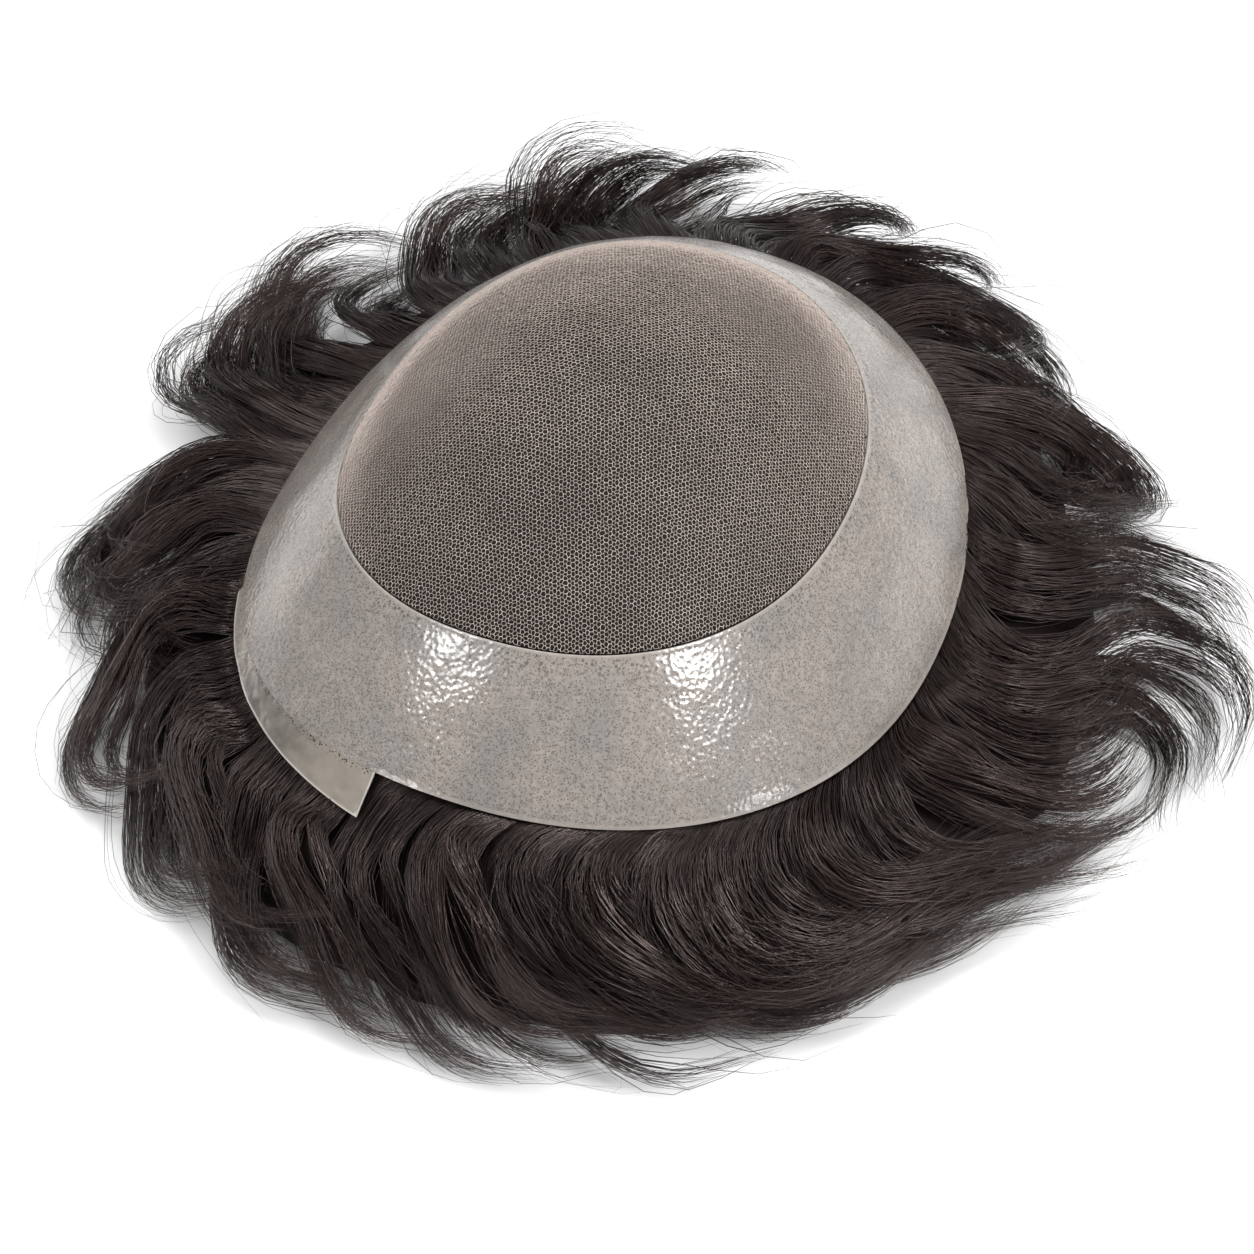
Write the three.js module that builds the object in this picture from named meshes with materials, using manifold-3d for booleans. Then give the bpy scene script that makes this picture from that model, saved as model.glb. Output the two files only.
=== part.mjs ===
// A toupee hairpiece lying scalp side up on its own hair.
// Millimetres, +Z up. The forehead end is at -Y and the crown axis of the base is x = y = 0
// until the last lines, which stand the whole piece on the middle of its own footprint.
import * as THREE from "three";
import Module from "manifold-3d";

const wasm = await Module();
wasm.setup();

// Base: the domed skin and net that lie on the scalp
const BASE_WIDTH = 165;
const BASE_LENGTH = 190;
const BASE_ROUNDNESS = 2.16;
const CROWN_HEIGHT = 58;
const CROWN_FULLNESS = 1.81;
const RIM_SWEEP = 8.8;
const RIM_STANDING_HEIGHT = 27.5;
const SKIN_WALL = 1;

// Net window in the middle of the skin
const NET_WIDTH = 117;
const NET_LENGTH = 136;
const NET_ROUNDNESS = 2.15;
const NET_SHIFT_SIDE = -2;
const NET_SHIFT_BACK = 1;
const NET_WALL = 1;

// Clear strip left uncut along one side of the front edge
const TAB_WIDTH = 7.5;
const TAB_START = 213;
const TAB_END = 260.5;
const TAB_START_SHARE = 0.1;

// Clearances
const SEAM_CLEARANCE = 0.3;
const HAIR_CLEARANCE = 0.3;

// Hair: a root layer that lines the dome, a skirt that spreads from the rim, and locks on it
const ROOT_LAYER = 9;
const FOOT_INSET = 8;
const SKIRT_REACH = 42;
const SKIRT_EDGE_HEIGHT = 9;
const SKIRT_EDGE_ROUND = 2;
const SKIRT_DROP_SHAPE = 1.15;
const LOCK_LENGTH = 100;
const LOCK_WIDTH = 18;
const LOCK_THICKNESS = 8;
const LOCK_LIFT = 25;
const LOCK_ROOT_INSET = 5;

// How fine the facets are
const BASE_COLUMNS = 64;
const NET_ROWS = 4;
const SKIN_ROWS = 3;
const HAIR_COLUMNS = 48;
const TAB_COLUMNS = 16;
const LOCK_STEPS_PER_LENGTH = 8;

// Reach of the skirt by direction, as a share of SKIRT_REACH
const SKIRT_SHARES = [
  { toward: 0, reach: 1.0 },
  { toward: 45, reach: 0.8 },
  { toward: 90, reach: 0.85 },
  { toward: 135, reach: 0.62 },
  { toward: 180, reach: 0.7 },
  { toward: 225, reach: 0.76 },
  { toward: 270, reach: 0.84 },
  { toward: 315, reach: 0.95 },
];

// Locks, one row each: where one leaves the rim, how it leans from straight out, how far it
// turns in its first and last half (degrees, counterclockwise from above), and its length,
// width and lift of the tip as shares of LOCK_LENGTH, LOCK_WIDTH and LOCK_LIFT
const LOCKS = [
  { at: 1, lean: -67, bend: 95, hook: 45, length: 0.76, width: 1.0, lift: 0.0 },
  { at: 8, lean: -66, bend: 115, hook: -145, length: 0.95, width: 0.9, lift: 0.2 },
  { at: 19, lean: -92, bend: 140, hook: -147, length: 1.08, width: 0.9, lift: 0.2 },
  { at: 34, lean: -96, bend: 125, hook: -140, length: 1.05, width: 0.9, lift: 0.3 },
  { at: 41, lean: -91, bend: 60, hook: 45, length: 0.66, width: 0.9, lift: 0.1 },
  { at: 45, lean: -60, bend: 30, hook: 20, length: 0.58, width: 0.9, lift: 0.1 },
  { at: 52, lean: -15, bend: -32, hook: -90, length: 0.84, width: 0.8, lift: 0.3 },
  { at: 59, lean: -15, bend: -50, hook: -30, length: 0.66, width: 0.9, lift: 0.2 },
  { at: 68, lean: 8, bend: -75, hook: -45, length: 0.76, width: 0.9, lift: 0.3 },
  { at: 77, lean: 18, bend: -90, hook: -60, length: 0.92, width: 0.8, lift: 0.5 },
  { at: 84, lean: 12, bend: -70, hook: -50, length: 0.74, width: 0.8, lift: 0.4 },
  { at: 93, lean: 18, bend: -70, hook: -60, length: 0.78, width: 0.8, lift: 0.5 },
  { at: 103, lean: 22, bend: -60, hook: -85, length: 0.84, width: 0.8, lift: 0.7 },
  { at: 111, lean: 5, bend: -20, hook: -50, length: 0.66, width: 0.8, lift: 0.6 },
  { at: 122, lean: -3, bend: -5, hook: -80, length: 0.75, width: 0.7, lift: 0.6 },
  { at: 129, lean: 5, bend: -20, hook: -50, length: 0.6, width: 0.8, lift: 0.5 },
  { at: 137, lean: 13, bend: -45, hook: -45, length: 0.72, width: 0.8, lift: 0.4 },
  { at: 146, lean: 29, bend: -50, hook: -50, length: 0.55, width: 0.8, lift: 0.2 },
  { at: 155, lean: 25, bend: -60, hook: -70, length: 0.85, width: 0.8, lift: 0.2 },
  { at: 163, lean: 20, bend: -50, hook: -30, length: 0.52, width: 0.8, lift: 0.2 },
  { at: 170, lean: 8, bend: -45, hook: -65, length: 0.84, width: 0.8, lift: 0.2 },
  { at: 176, lean: 7, bend: -38, hook: -75, length: 0.8, width: 0.5, lift: 0.2 },
  { at: 184, lean: -5, bend: 65, hook: 70, length: 0.98, width: 0.8, lift: 0.1 },
  { at: 194, lean: -14, bend: 60, hook: 65, length: 0.74, width: 0.9, lift: 0.1 },
  { at: 204, lean: 2, bend: 48, hook: 70, length: 0.62, width: 1.0, lift: 0.0 },
  { at: 213, lean: -16, bend: 82, hook: 70, length: 0.85, width: 1.0, lift: 0.0 },
  { at: 228, lean: 0, bend: 82, hook: 50, length: 0.8, width: 1.0, lift: 0.0 },
  { at: 237, lean: -2, bend: 78, hook: 55, length: 0.78, width: 1.0, lift: 0.0 },
  { at: 246, lean: 4, bend: 62, hook: 65, length: 0.74, width: 1.0, lift: 0.0 },
  { at: 256, lean: 4, bend: 60, hook: 62, length: 0.67, width: 1.0, lift: 0.0 },
  { at: 267, lean: -7, bend: 62, hook: 62, length: 0.66, width: 1.0, lift: 0.0 },
  { at: 278, lean: -18, bend: 72, hook: 55, length: 0.7, width: 1.0, lift: 0.0 },
  { at: 288, lean: -28, bend: 90, hook: 55, length: 0.76, width: 1.0, lift: 0.0 },
  { at: 298, lean: -28, bend: 95, hook: 60, length: 0.9, width: 1.0, lift: 0.0 },
  { at: 306, lean: -24, bend: 135, hook: 15, length: 1.22, width: 1.0, lift: 0.0 },
  { at: 312, lean: -28, bend: 130, hook: 20, length: 1.02, width: 1.0, lift: 0.0 },
  { at: 318, lean: -30, bend: 140, hook: -30, length: 1.18, width: 1.0, lift: 0.3 },
  { at: 328, lean: -34, bend: 100, hook: 40, length: 0.8, width: 1.0, lift: 0.0 },
  { at: 338, lean: -38, bend: 75, hook: 60, length: 0.72, width: 1.0, lift: 0.0 },
  { at: 350, lean: -42, bend: 70, hook: 65, length: 0.76, width: 1.0, lift: 0.0 },
];

// Width and thickness along a lock, as shares of its full width and of LOCK_THICKNESS
const LOCK_TAPER = [
  { along: 0, width: 0.6, thickness: 0.7 },
  { along: 0.3, width: 1.0, thickness: 1.0 },
  { along: 0.6, width: 0.8, thickness: 0.9 },
  { along: 0.85, width: 0.45, thickness: 0.55 },
  { along: 1, width: 0.12, thickness: 0.2 },
];

const DEGREE = Math.PI / 180;

function smooth(share) {
  const held = Math.min(Math.max(share, 0), 1);
  return held * held * (3 - 2 * held);
}

function mix(low, high, share) {
  return low + (high - low) * share;
}

function ovalRadius(angle, width, length, roundness) {
  const side = Math.abs(Math.cos(angle)) / (width / 2);
  const front = Math.abs(Math.sin(angle)) / (length / 2);
  return (side ** roundness + front ** roundness) ** (-1 / roundness);
}

function rimRadius(angle) {
  return ovalRadius(angle, BASE_WIDTH, BASE_LENGTH, BASE_ROUNDNESS);
}

function netRadius(angle) {
  const shift = NET_SHIFT_SIDE * Math.cos(angle) + NET_SHIFT_BACK * Math.sin(angle);
  return ovalRadius(angle, NET_WIDTH, NET_LENGTH, NET_ROUNDNESS) + shift;
}

function baseHeight(x, y) {
  const angle = Math.atan2(y, x);
  const share = Math.hypot(x, y) / rimRadius(angle);
  const crown = CROWN_HEIGHT * (1 - share ** CROWN_FULLNESS);
  return RIM_STANDING_HEIGHT + crown - RIM_SWEEP * Math.cos(2 * angle) * share * share;
}

function baseNormal(x, y) {
  const reach = 0.05;
  const slopeX = (baseHeight(x + reach, y) - baseHeight(x - reach, y)) / (2 * reach);
  const slopeY = (baseHeight(x, y + reach) - baseHeight(x, y - reach)) / (2 * reach);
  return new THREE.Vector3(-slopeX, -slopeY, 1).normalize();
}

// Point on the outside of the dome, moved along its normal by offset (inwards is negative)
function basePoint(angle, radius, offset) {
  const x = radius * Math.cos(angle);
  const y = radius * Math.sin(angle);
  return new THREE.Vector3(x, y, baseHeight(x, y)).addScaledVector(baseNormal(x, y), offset);
}

function rimHeight(angle) {
  const radius = rimRadius(angle);
  return baseHeight(radius * Math.cos(angle), radius * Math.sin(angle));
}

// Body of points and triangles, turned so that its faces point out
function body(points, triangles) {
  let volume = 0;
  for (const [a, b, c] of triangles) {
    volume += points[a].dot(new THREE.Vector3().crossVectors(points[b], points[c]));
  }
  const outward = volume < 0 ? triangles.map(([a, b, c]) => [a, c, b]) : triangles;
  return { points, triangles: outward };
}

function quad(a, b, c, d) {
  return [
    [a, b, c],
    [a, c, d],
  ];
}

// Skin between closed loops of equal count, joined end to end or capped across each end loop
function loftLoops(loops, joined) {
  const count = loops[0].length;
  const triangles = [];
  const last = joined ? loops.length : loops.length - 1;
  for (let i = 0; i < last; i += 1) {
    const here = i * count;
    const next = ((i + 1) % loops.length) * count;
    for (let j = 0; j < count; j += 1) {
      const k = (j + 1) % count;
      triangles.push(...quad(here + j, next + j, next + k, here + k));
    }
  }
  if (!joined) {
    const end = (loops.length - 1) * count;
    for (let j = 0; j < count / 2 - 1; j += 1) {
      const k = count - 1 - j;
      triangles.push(...quad(j, j + 1, k - 1, k));
      triangles.push(...quad(end + k, end + k - 1, end + j + 1, end + j));
    }
  }
  return body(loops.flat(), triangles);
}

// Skin of open profiles around the crown axis, each with the same first and last point
function loftProfiles(profiles) {
  const inner = profiles[0].length - 2;
  const points = profiles.flatMap((profile) => profile.slice(1, -1));
  const top = points.push(profiles[0][0]) - 1;
  const bottom = points.push(profiles[0][inner + 1]) - 1;
  const triangles = [];
  for (let i = 0; i < profiles.length; i += 1) {
    const here = i * inner;
    const next = ((i + 1) % profiles.length) * inner;
    triangles.push([top, here, next]);
    triangles.push([bottom, next + inner - 1, here + inner - 1]);
    for (let j = 0; j < inner - 1; j += 1) {
      triangles.push(...quad(here + j, here + j + 1, next + j + 1, next + j));
    }
  }
  return body(points, triangles);
}

function anglesAround(columns) {
  return Array.from({ length: columns }, (_, i) => (i / columns) * 2 * Math.PI);
}

// Section of a shell over the dome, out along its top and back along its underside
function shellSection(angle, radii, low, high) {
  const top = radii.map((radius) => basePoint(angle, radius, high));
  const underside = radii.map((radius) => basePoint(angle, radius, low)).reverse();
  return [...top, ...underside];
}

function spread(inner, outer, rows) {
  return Array.from({ length: rows + 1 }, (_, j) => mix(inner, outer, j / rows));
}

function netRadii(angle) {
  return spread(0, netRadius(angle) - SEAM_CLEARANCE / 2, NET_ROWS);
}

function skinRadii(angle) {
  return spread(netRadius(angle) + SEAM_CLEARANCE / 2, rimRadius(angle), SKIN_ROWS);
}

function netBody() {
  const section = (angle) => shellSection(angle, netRadii(angle), -NET_WALL, 0);
  return loftProfiles(anglesAround(BASE_COLUMNS).map(section));
}

function skinBody() {
  const section = (angle) => shellSection(angle, skinRadii(angle), -SKIN_WALL, 0);
  return loftLoops(anglesAround(BASE_COLUMNS).map(section), true);
}

// Room for net and skin: their own facets, lowered by the clearance and taken past the rim
function baseRoomBody() {
  const low = -(Math.max(SKIN_WALL, NET_WALL) + HAIR_CLEARANCE);
  const high = LOCK_THICKNESS + LOCK_LIFT;
  const section = (angle) => {
    const past = rimRadius(angle) + HAIR_CLEARANCE;
    return shellSection(angle, [...netRadii(angle), ...skinRadii(angle), past], low, high);
  };
  return loftProfiles(anglesAround(BASE_COLUMNS).map(section));
}

function tabWidth(share) {
  return TAB_WIDTH * mix(TAB_START_SHARE, 1, share);
}

// Strip past the rim, from start to end, grown by margin on every side for a cutter
function tabBody(margin, low, high) {
  const sections = [];
  for (let i = 0; i <= TAB_COLUMNS; i += 1) {
    const share = i / TAB_COLUMNS;
    const past = (margin / rimRadius(TAB_END * DEGREE)) * (2 * share - 1);
    const angle = mix(TAB_START, TAB_END, share) * DEGREE + past;
    const inner = rimRadius(angle) + SEAM_CLEARANCE - margin;
    const outer = rimRadius(angle) + SEAM_CLEARANCE + tabWidth(share) + margin;
    sections.push(shellSection(angle, [inner, outer], low, high));
  }
  return loftLoops(sections, false);
}

function skirtReach(angle) {
  const step = 360 / SKIRT_SHARES.length;
  const turn = (((angle / DEGREE) % 360) + 360) % 360;
  const index = Math.floor(turn / step) % SKIRT_SHARES.length;
  const next = (index + 1) % SKIRT_SHARES.length;
  const blend = smooth(turn / step - index);
  return SKIRT_REACH * mix(SKIRT_SHARES[index].reach, SKIRT_SHARES[next].reach, blend);
}

// Top of the hair outside the rim, and the low run of it past the edge of the skirt
function skirtHeight(x, y) {
  const angle = Math.atan2(y, x);
  const start = rimHeight(angle) - SKIN_WALL - HAIR_CLEARANCE;
  const out = Math.max((Math.hypot(x, y) - rimRadius(angle)) / skirtReach(angle), 0);
  if (out < 1) {
    return mix(SKIRT_EDGE_HEIGHT, start, 1 - out ** SKIRT_DROP_SHAPE);
  }
  return Math.max(SKIRT_EDGE_HEIGHT * (3 - 2 * out), LOCK_THICKNESS / 3);
}

// Root layer and skirt in one: down over the dome, out to the edge, back under and up inside
function hairProfile(angle) {
  const rim = rimRadius(angle);
  const edge = rim + skirtReach(angle);
  const outwards = new THREE.Vector3(Math.cos(angle), Math.sin(angle), 0);
  const at = (radius, height) => outwards.clone().multiplyScalar(radius).setZ(height);
  const top = [0, 0.35, 0.65, 0.88, 1].map((share) => basePoint(angle, rim * share, -SKIN_WALL / 2));
  const skirt = [0.12, 0.4, 0.7, 0.92, 1].map((share) => {
    const radius = mix(rim, edge, share);
    return at(radius, skirtHeight(radius * Math.cos(angle), radius * Math.sin(angle)));
  });
  const sole = [
    at(edge + SKIRT_EDGE_ROUND, SKIRT_EDGE_HEIGHT / 2),
    at(edge, -SKIRT_EDGE_ROUND),
    at(rim - FOOT_INSET, -SKIRT_EDGE_ROUND),
  ];
  const depth = -(SKIN_WALL + HAIR_CLEARANCE + ROOT_LAYER);
  const lining = [0.88, 0.65, 0.35, 0].map((share) => basePoint(angle, rim * share, depth));
  return [...top, ...skirt, ...sole, ...lining];
}

function taperAt(along, column) {
  const next = LOCK_TAPER.findIndex((row) => row.along >= along);
  if (next < 1) {
    return LOCK_TAPER[0][column];
  }
  const low = LOCK_TAPER[next - 1];
  const high = LOCK_TAPER[next];
  const share = (along - low.along) / (high.along - low.along);
  return mix(low[column], high[column], share);
}

// Centre line of a lock: it leaves the rim, leans, bends, hooks, and lies on the skirt
function lockPath(lock) {
  const steps = Math.ceil(LOCK_STEPS_PER_LENGTH * lock.length);
  const stride = (LOCK_LENGTH * lock.length) / steps;
  const start = rimRadius(lock.at * DEGREE) - LOCK_ROOT_INSET;
  const place = new THREE.Vector2(start, 0).rotateAround(new THREE.Vector2(), lock.at * DEGREE);
  const path = [];
  for (let i = 0; i <= steps; i += 1) {
    const along = i / steps;
    const sunk = (LOCK_THICKNESS / 2) * (1 - along) ** 2;
    const height = skirtHeight(place.x, place.y) - sunk + LOCK_LIFT * lock.lift * along * along;
    path.push(new THREE.Vector3(place.x, place.y, height));
    const middle = (i + 0.5) / steps;
    const turn = lock.bend * smooth(middle / 0.55) + lock.hook * smooth((middle - 0.45) / 0.55);
    const heading = (lock.at + lock.lean + turn) * DEGREE;
    place.x += stride * Math.cos(heading);
    place.y += stride * Math.sin(heading);
  }
  return path;
}

// Lens-shaped sections along the centre line, flat side up, narrowing to the tip
function lockBody(lock) {
  const path = lockPath(lock);
  const loops = path.map((point, i) => {
    const before = path[Math.max(i - 1, 0)];
    const after = path[Math.min(i + 1, path.length - 1)];
    const run = after.clone().sub(before).normalize();
    const side = new THREE.Vector3(-run.y, run.x, 0).normalize();
    const rise = new THREE.Vector3().crossVectors(run, side);
    const along = i / (path.length - 1);
    const half = (LOCK_WIDTH * lock.width * taperAt(along, "width")) / 2;
    const deep = (LOCK_THICKNESS * taperAt(along, "thickness")) / 2;
    const corner = (across, up) =>
      point.clone().addScaledVector(side, across * half).addScaledVector(rise, up * deep);
    return [
      corner(-1, 0),
      corner(-0.45, 1),
      corner(0.45, 1),
      corner(1, 0),
      corner(0.45, -1),
      corner(-0.45, -1),
    ];
  });
  return loftLoops(loops, false);
}

function solid({ points, triangles }) {
  const vertProperties = new Float32Array(points.flatMap((point) => point.toArray()));
  const triVerts = new Uint32Array(triangles.flat());
  return new wasm.Manifold(new wasm.Mesh({ numProp: 3, vertProperties, triVerts }));
}

// Everything under the surface that the piece lies on
function underfloor() {
  const span = 4 * (BASE_LENGTH + SKIRT_REACH + LOCK_LENGTH);
  const depth = RIM_STANDING_HEIGHT + LOCK_THICKNESS;
  const box = new THREE.BoxGeometry(span, span, depth).translate(0, 0, -depth / 2);
  const corners = [];
  const place = box.getAttribute("position");
  const index = box.getIndex();
  const seen = new Map();
  const triangles = [];
  for (let i = 0; i < index.count; i += 1) {
    const point = new THREE.Vector3().fromBufferAttribute(place, index.getX(i));
    const key = point.toArray().join();
    if (!seen.has(key)) {
      seen.set(key, corners.push(point) - 1);
    }
    triangles.push(seen.get(key));
  }
  const faces = Array.from({ length: triangles.length / 3 }, (_, i) => triangles.slice(3 * i, 3 * i + 3));
  return solid(body(corners, faces));
}

// The largest skin alone, so that no pocket stays shut in between locks
function outerSkin(manifold) {
  const skins = manifold.decompose();
  return skins.reduce((best, skin) => (skin.volume() > best.volume() ? skin : best));
}

// Hair with room cut in it for the skin, the net and the clear strip, flat where it lies down
function hairSolid() {
  let hair = solid(loftProfiles(anglesAround(HAIR_COLUMNS).map(hairProfile)));
  for (const lock of LOCKS) {
    hair = hair.add(solid(lockBody(lock)));
  }
  const tabRoom = tabBody(HAIR_CLEARANCE, -(SKIN_WALL + HAIR_CLEARANCE), LOCK_THICKNESS);
  const cut = hair.subtract(solid(baseRoomBody())).subtract(solid(tabRoom));
  return outerSkin(cut.subtract(underfloor()));
}

function bufferOf(positions, indices) {
  const geometry = new THREE.BufferGeometry();
  geometry.setAttribute("position", new THREE.BufferAttribute(positions, 3));
  geometry.setIndex(new THREE.BufferAttribute(indices, 1));
  geometry.computeVertexNormals();
  return geometry;
}

function bufferOfBody({ points, triangles }) {
  const positions = new Float32Array(points.flatMap((point) => point.toArray()));
  return bufferOf(positions, new Uint32Array(triangles.flat()));
}

function bufferOfSolid(manifold) {
  const mesh = manifold.getMesh();
  return bufferOf(new Float32Array(mesh.vertProperties), new Uint32Array(mesh.triVerts));
}

function piece(name, geometry, color, roughness) {
  const material = new THREE.MeshStandardMaterial({ color, roughness, metalness: 0 });
  const mesh = new THREE.Mesh(geometry, material);
  mesh.name = name;
  return mesh;
}

const hairpiece = new THREE.Group();
hairpiece.add(
  piece("net_centre", bufferOfBody(netBody()), 0x6e655f, 0.8),
  piece("skin_band", bufferOfBody(skinBody()), 0xaaa49c, 0.35),
  piece("clear_tab", bufferOfBody(tabBody(0, -SKIN_WALL, 0)), 0xb4aa98, 0.25),
  piece("hair", bufferOfSolid(hairSolid()), 0x221b1a, 0.45),
);

const footprint = new THREE.Box3().setFromObject(hairpiece).getCenter(new THREE.Vector3());
hairpiece.position.set(-footprint.x, -footprint.y, 0);

export default new THREE.Group().add(hairpiece);
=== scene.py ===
"""The looks of a toupee hairpiece that lies scalp side up on its own wavy hair."""
import logging
import math
from dataclasses import dataclass, field
from enum import Enum

import bmesh
import bpy
import numpy as np
from mathutils import Matrix, Vector, noise


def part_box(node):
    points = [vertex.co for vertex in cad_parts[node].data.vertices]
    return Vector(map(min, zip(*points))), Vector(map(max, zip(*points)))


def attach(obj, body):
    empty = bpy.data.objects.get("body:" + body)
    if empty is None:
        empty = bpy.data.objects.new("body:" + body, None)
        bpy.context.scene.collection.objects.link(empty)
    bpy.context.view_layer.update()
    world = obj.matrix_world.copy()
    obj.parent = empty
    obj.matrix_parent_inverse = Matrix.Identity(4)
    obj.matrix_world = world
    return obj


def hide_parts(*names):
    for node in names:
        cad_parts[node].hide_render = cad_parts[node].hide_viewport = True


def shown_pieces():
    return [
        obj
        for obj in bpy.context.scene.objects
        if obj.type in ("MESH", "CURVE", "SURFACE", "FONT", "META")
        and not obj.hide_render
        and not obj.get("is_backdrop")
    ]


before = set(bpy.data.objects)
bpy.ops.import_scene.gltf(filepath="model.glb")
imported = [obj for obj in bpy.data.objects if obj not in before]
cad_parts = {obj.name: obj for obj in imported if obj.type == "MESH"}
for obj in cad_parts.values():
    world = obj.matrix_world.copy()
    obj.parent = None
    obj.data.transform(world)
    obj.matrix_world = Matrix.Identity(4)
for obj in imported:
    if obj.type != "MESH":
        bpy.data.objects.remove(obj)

LOG = logging.getLogger("hairpiece")
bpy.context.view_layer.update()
MM = 0.001
BODY = "root"


def smooth(share: np.ndarray | float) -> np.ndarray | float:
    """Eases a share from 0 to 1, held at both ends."""
    held = np.clip(share, 0, 1)
    return held * held * (3 - 2 * held)


def linear(red: int, green: int, blue: int) -> tuple[float, float, float, float]:
    """Turns an eight-bit display colour into the linear colour that a shader takes."""
    shares = (channel / 255 for channel in (red, green, blue))
    return (*(((c + 0.055) / 1.055) ** 2.4 if c > 0.04045 else c / 12.92 for c in shares), 1.0)


def ripple(points: np.ndarray, size: float, salt: float = 0.0) -> np.ndarray:
    """Soft noise between about -1 and 1 at points given in millimetres.

    Args:
        points: Places, one row each.
        size: Width of one swell of the noise, in millimetres.
        salt: Shifts the noise, so that two uses differ.

    Returns:
        One value for each point.
    """
    return np.array([noise.noise(Vector(row) / size + Vector((salt, -salt, salt))) for row in points])


@dataclass(frozen=True)
class Oval:
    """Rounded oval seen from above, in millimetres, round the crown axis."""

    width: float
    length: float
    roundness: float
    shift_side: float = 0.0
    shift_back: float = 0.0

    def radius(self, angle: np.ndarray | float) -> np.ndarray | float:
        """Gives the distance from the crown axis to the outline at an angle."""
        side = np.abs(np.cos(angle)) / (self.width / 2)
        front = np.abs(np.sin(angle)) / (self.length / 2)
        plain = (side**self.roundness + front**self.roundness) ** (-1 / self.roundness)
        return plain + self.shift_side * np.cos(angle) + self.shift_back * np.sin(angle)


@dataclass(frozen=True)
class Dome:
    """Curved surface that the net and the skin share, in millimetres."""

    rim: Oval = Oval(165, 190, 2.16)
    net: Oval = Oval(117, 136, 2.15, -2, 1)
    crown_height: float = 58
    crown_fullness: float = 1.81
    rim_sweep: float = 8.8
    rim_standing: float = 27.5
    arc_steps: int = 40

    def height(self, x: np.ndarray, y: np.ndarray) -> np.ndarray:
        """Gives the height of the outside of the dome over the table."""
        angle = np.arctan2(y, x)
        share = np.hypot(x, y) / self.rim.radius(angle)
        crown = self.crown_height * (1 - share**self.crown_fullness)
        return self.rim_standing + crown - self.rim_sweep * np.cos(2 * angle) * share * share

    def normal(self, x: np.ndarray, y: np.ndarray) -> np.ndarray:
        """Gives the outward direction of the dome at plan positions."""
        reach = 0.05
        slope_x = (self.height(x + reach, y) - self.height(x - reach, y)) / (2 * reach)
        slope_y = (self.height(x, y + reach) - self.height(x, y - reach)) / (2 * reach)
        raw = np.stack([-slope_x, -slope_y, np.ones_like(slope_x)], axis=-1)
        return raw / np.linalg.norm(raw, axis=-1, keepdims=True)

    def point(self, angle: np.ndarray, radius: np.ndarray, offset: np.ndarray | float) -> np.ndarray:
        """Places points on the dome.

        Args:
            angle: Direction from the crown axis, in radians.
            radius: Distance from the crown axis, in millimetres.
            offset: Distance out along the surface's own direction.

        Returns:
            One row of x, y and z for each point.
        """
        angle, radius, offset = np.broadcast_arrays(angle, radius, offset)
        x, y = radius * np.cos(angle), radius * np.sin(angle)
        base = np.stack([x, y, self.height(x, y)], axis=-1)
        return base + self.normal(x, y) * offset[..., None]

    def rim_height(self, angle: np.ndarray | float) -> np.ndarray | float:
        """Gives the height of the rim at an angle."""
        radius = self.rim.radius(angle)
        return self.height(radius * np.cos(angle), radius * np.sin(angle))

    def arcs(self, angle: np.ndarray, outer: np.ndarray) -> tuple[np.ndarray, np.ndarray]:
        """Measures the surface from the crown outwards along each angle.

        Args:
            angle: Directions from the crown axis, in radians.
            outer: Plan radius at which each run ends, in millimetres.

        Returns:
            Plan radii and lengths along the surface, one row for each angle.
        """
        radii = outer[:, None] * np.linspace(0, 1, self.arc_steps + 1)[None, :]
        x, y = radii * np.cos(angle)[:, None], radii * np.sin(angle)[:, None]
        steps = np.hypot(np.diff(radii, axis=1), np.diff(self.height(x, y), axis=1))
        lengths = np.concatenate([np.zeros((len(angle), 1)), np.cumsum(steps, axis=1)], axis=1)
        return radii, lengths


DOME = Dome()


def crown_axis() -> np.ndarray:
    """Finds where the crown axis stands in the shared frame, in metres."""
    low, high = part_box("skin_band")
    return np.array([(low.x + high.x) / 2, (low.y + high.y) / 2, 0.0])


AXIS = crown_axis()


def new_object(name: str, mesh: bpy.types.Mesh) -> bpy.types.Object:
    """Puts a mesh into the scene as an object at the origin."""
    made = bpy.data.objects.new(name, mesh)
    bpy.context.scene.collection.objects.link(made)
    return made


def mesh_object(
    name: str,
    points: np.ndarray,
    faces: list[tuple[int, ...]],
    material: bpy.types.Material,
    values: dict[str, np.ndarray] | None = None,
) -> bpy.types.Object:
    """Makes a smooth shaded object from points round the crown axis.

    Args:
        name: Name of the piece.
        points: Places in millimetres, one row each.
        faces: Corner numbers of each face.
        material: Finish of the whole piece.
        values: Named numbers, one for each point, for the material to read.

    Returns:
        The new object, with its place in its mesh.
    """
    mesh = bpy.data.meshes.new(name)
    mesh.from_pydata((points * MM + AXIS).tolist(), [], faces)
    for label, numbers in (values or {}).items():
        mesh.attributes.new(label, "FLOAT", "POINT").data.foreach_set("value", numbers.astype(np.float32))
    shell = bmesh.new()
    shell.from_mesh(mesh)
    bmesh.ops.recalc_face_normals(shell, faces=shell.faces)
    shell.to_mesh(mesh)
    shell.free()
    mesh.shade_smooth()
    mesh.materials.append(material)
    return new_object(name, mesh)


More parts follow.
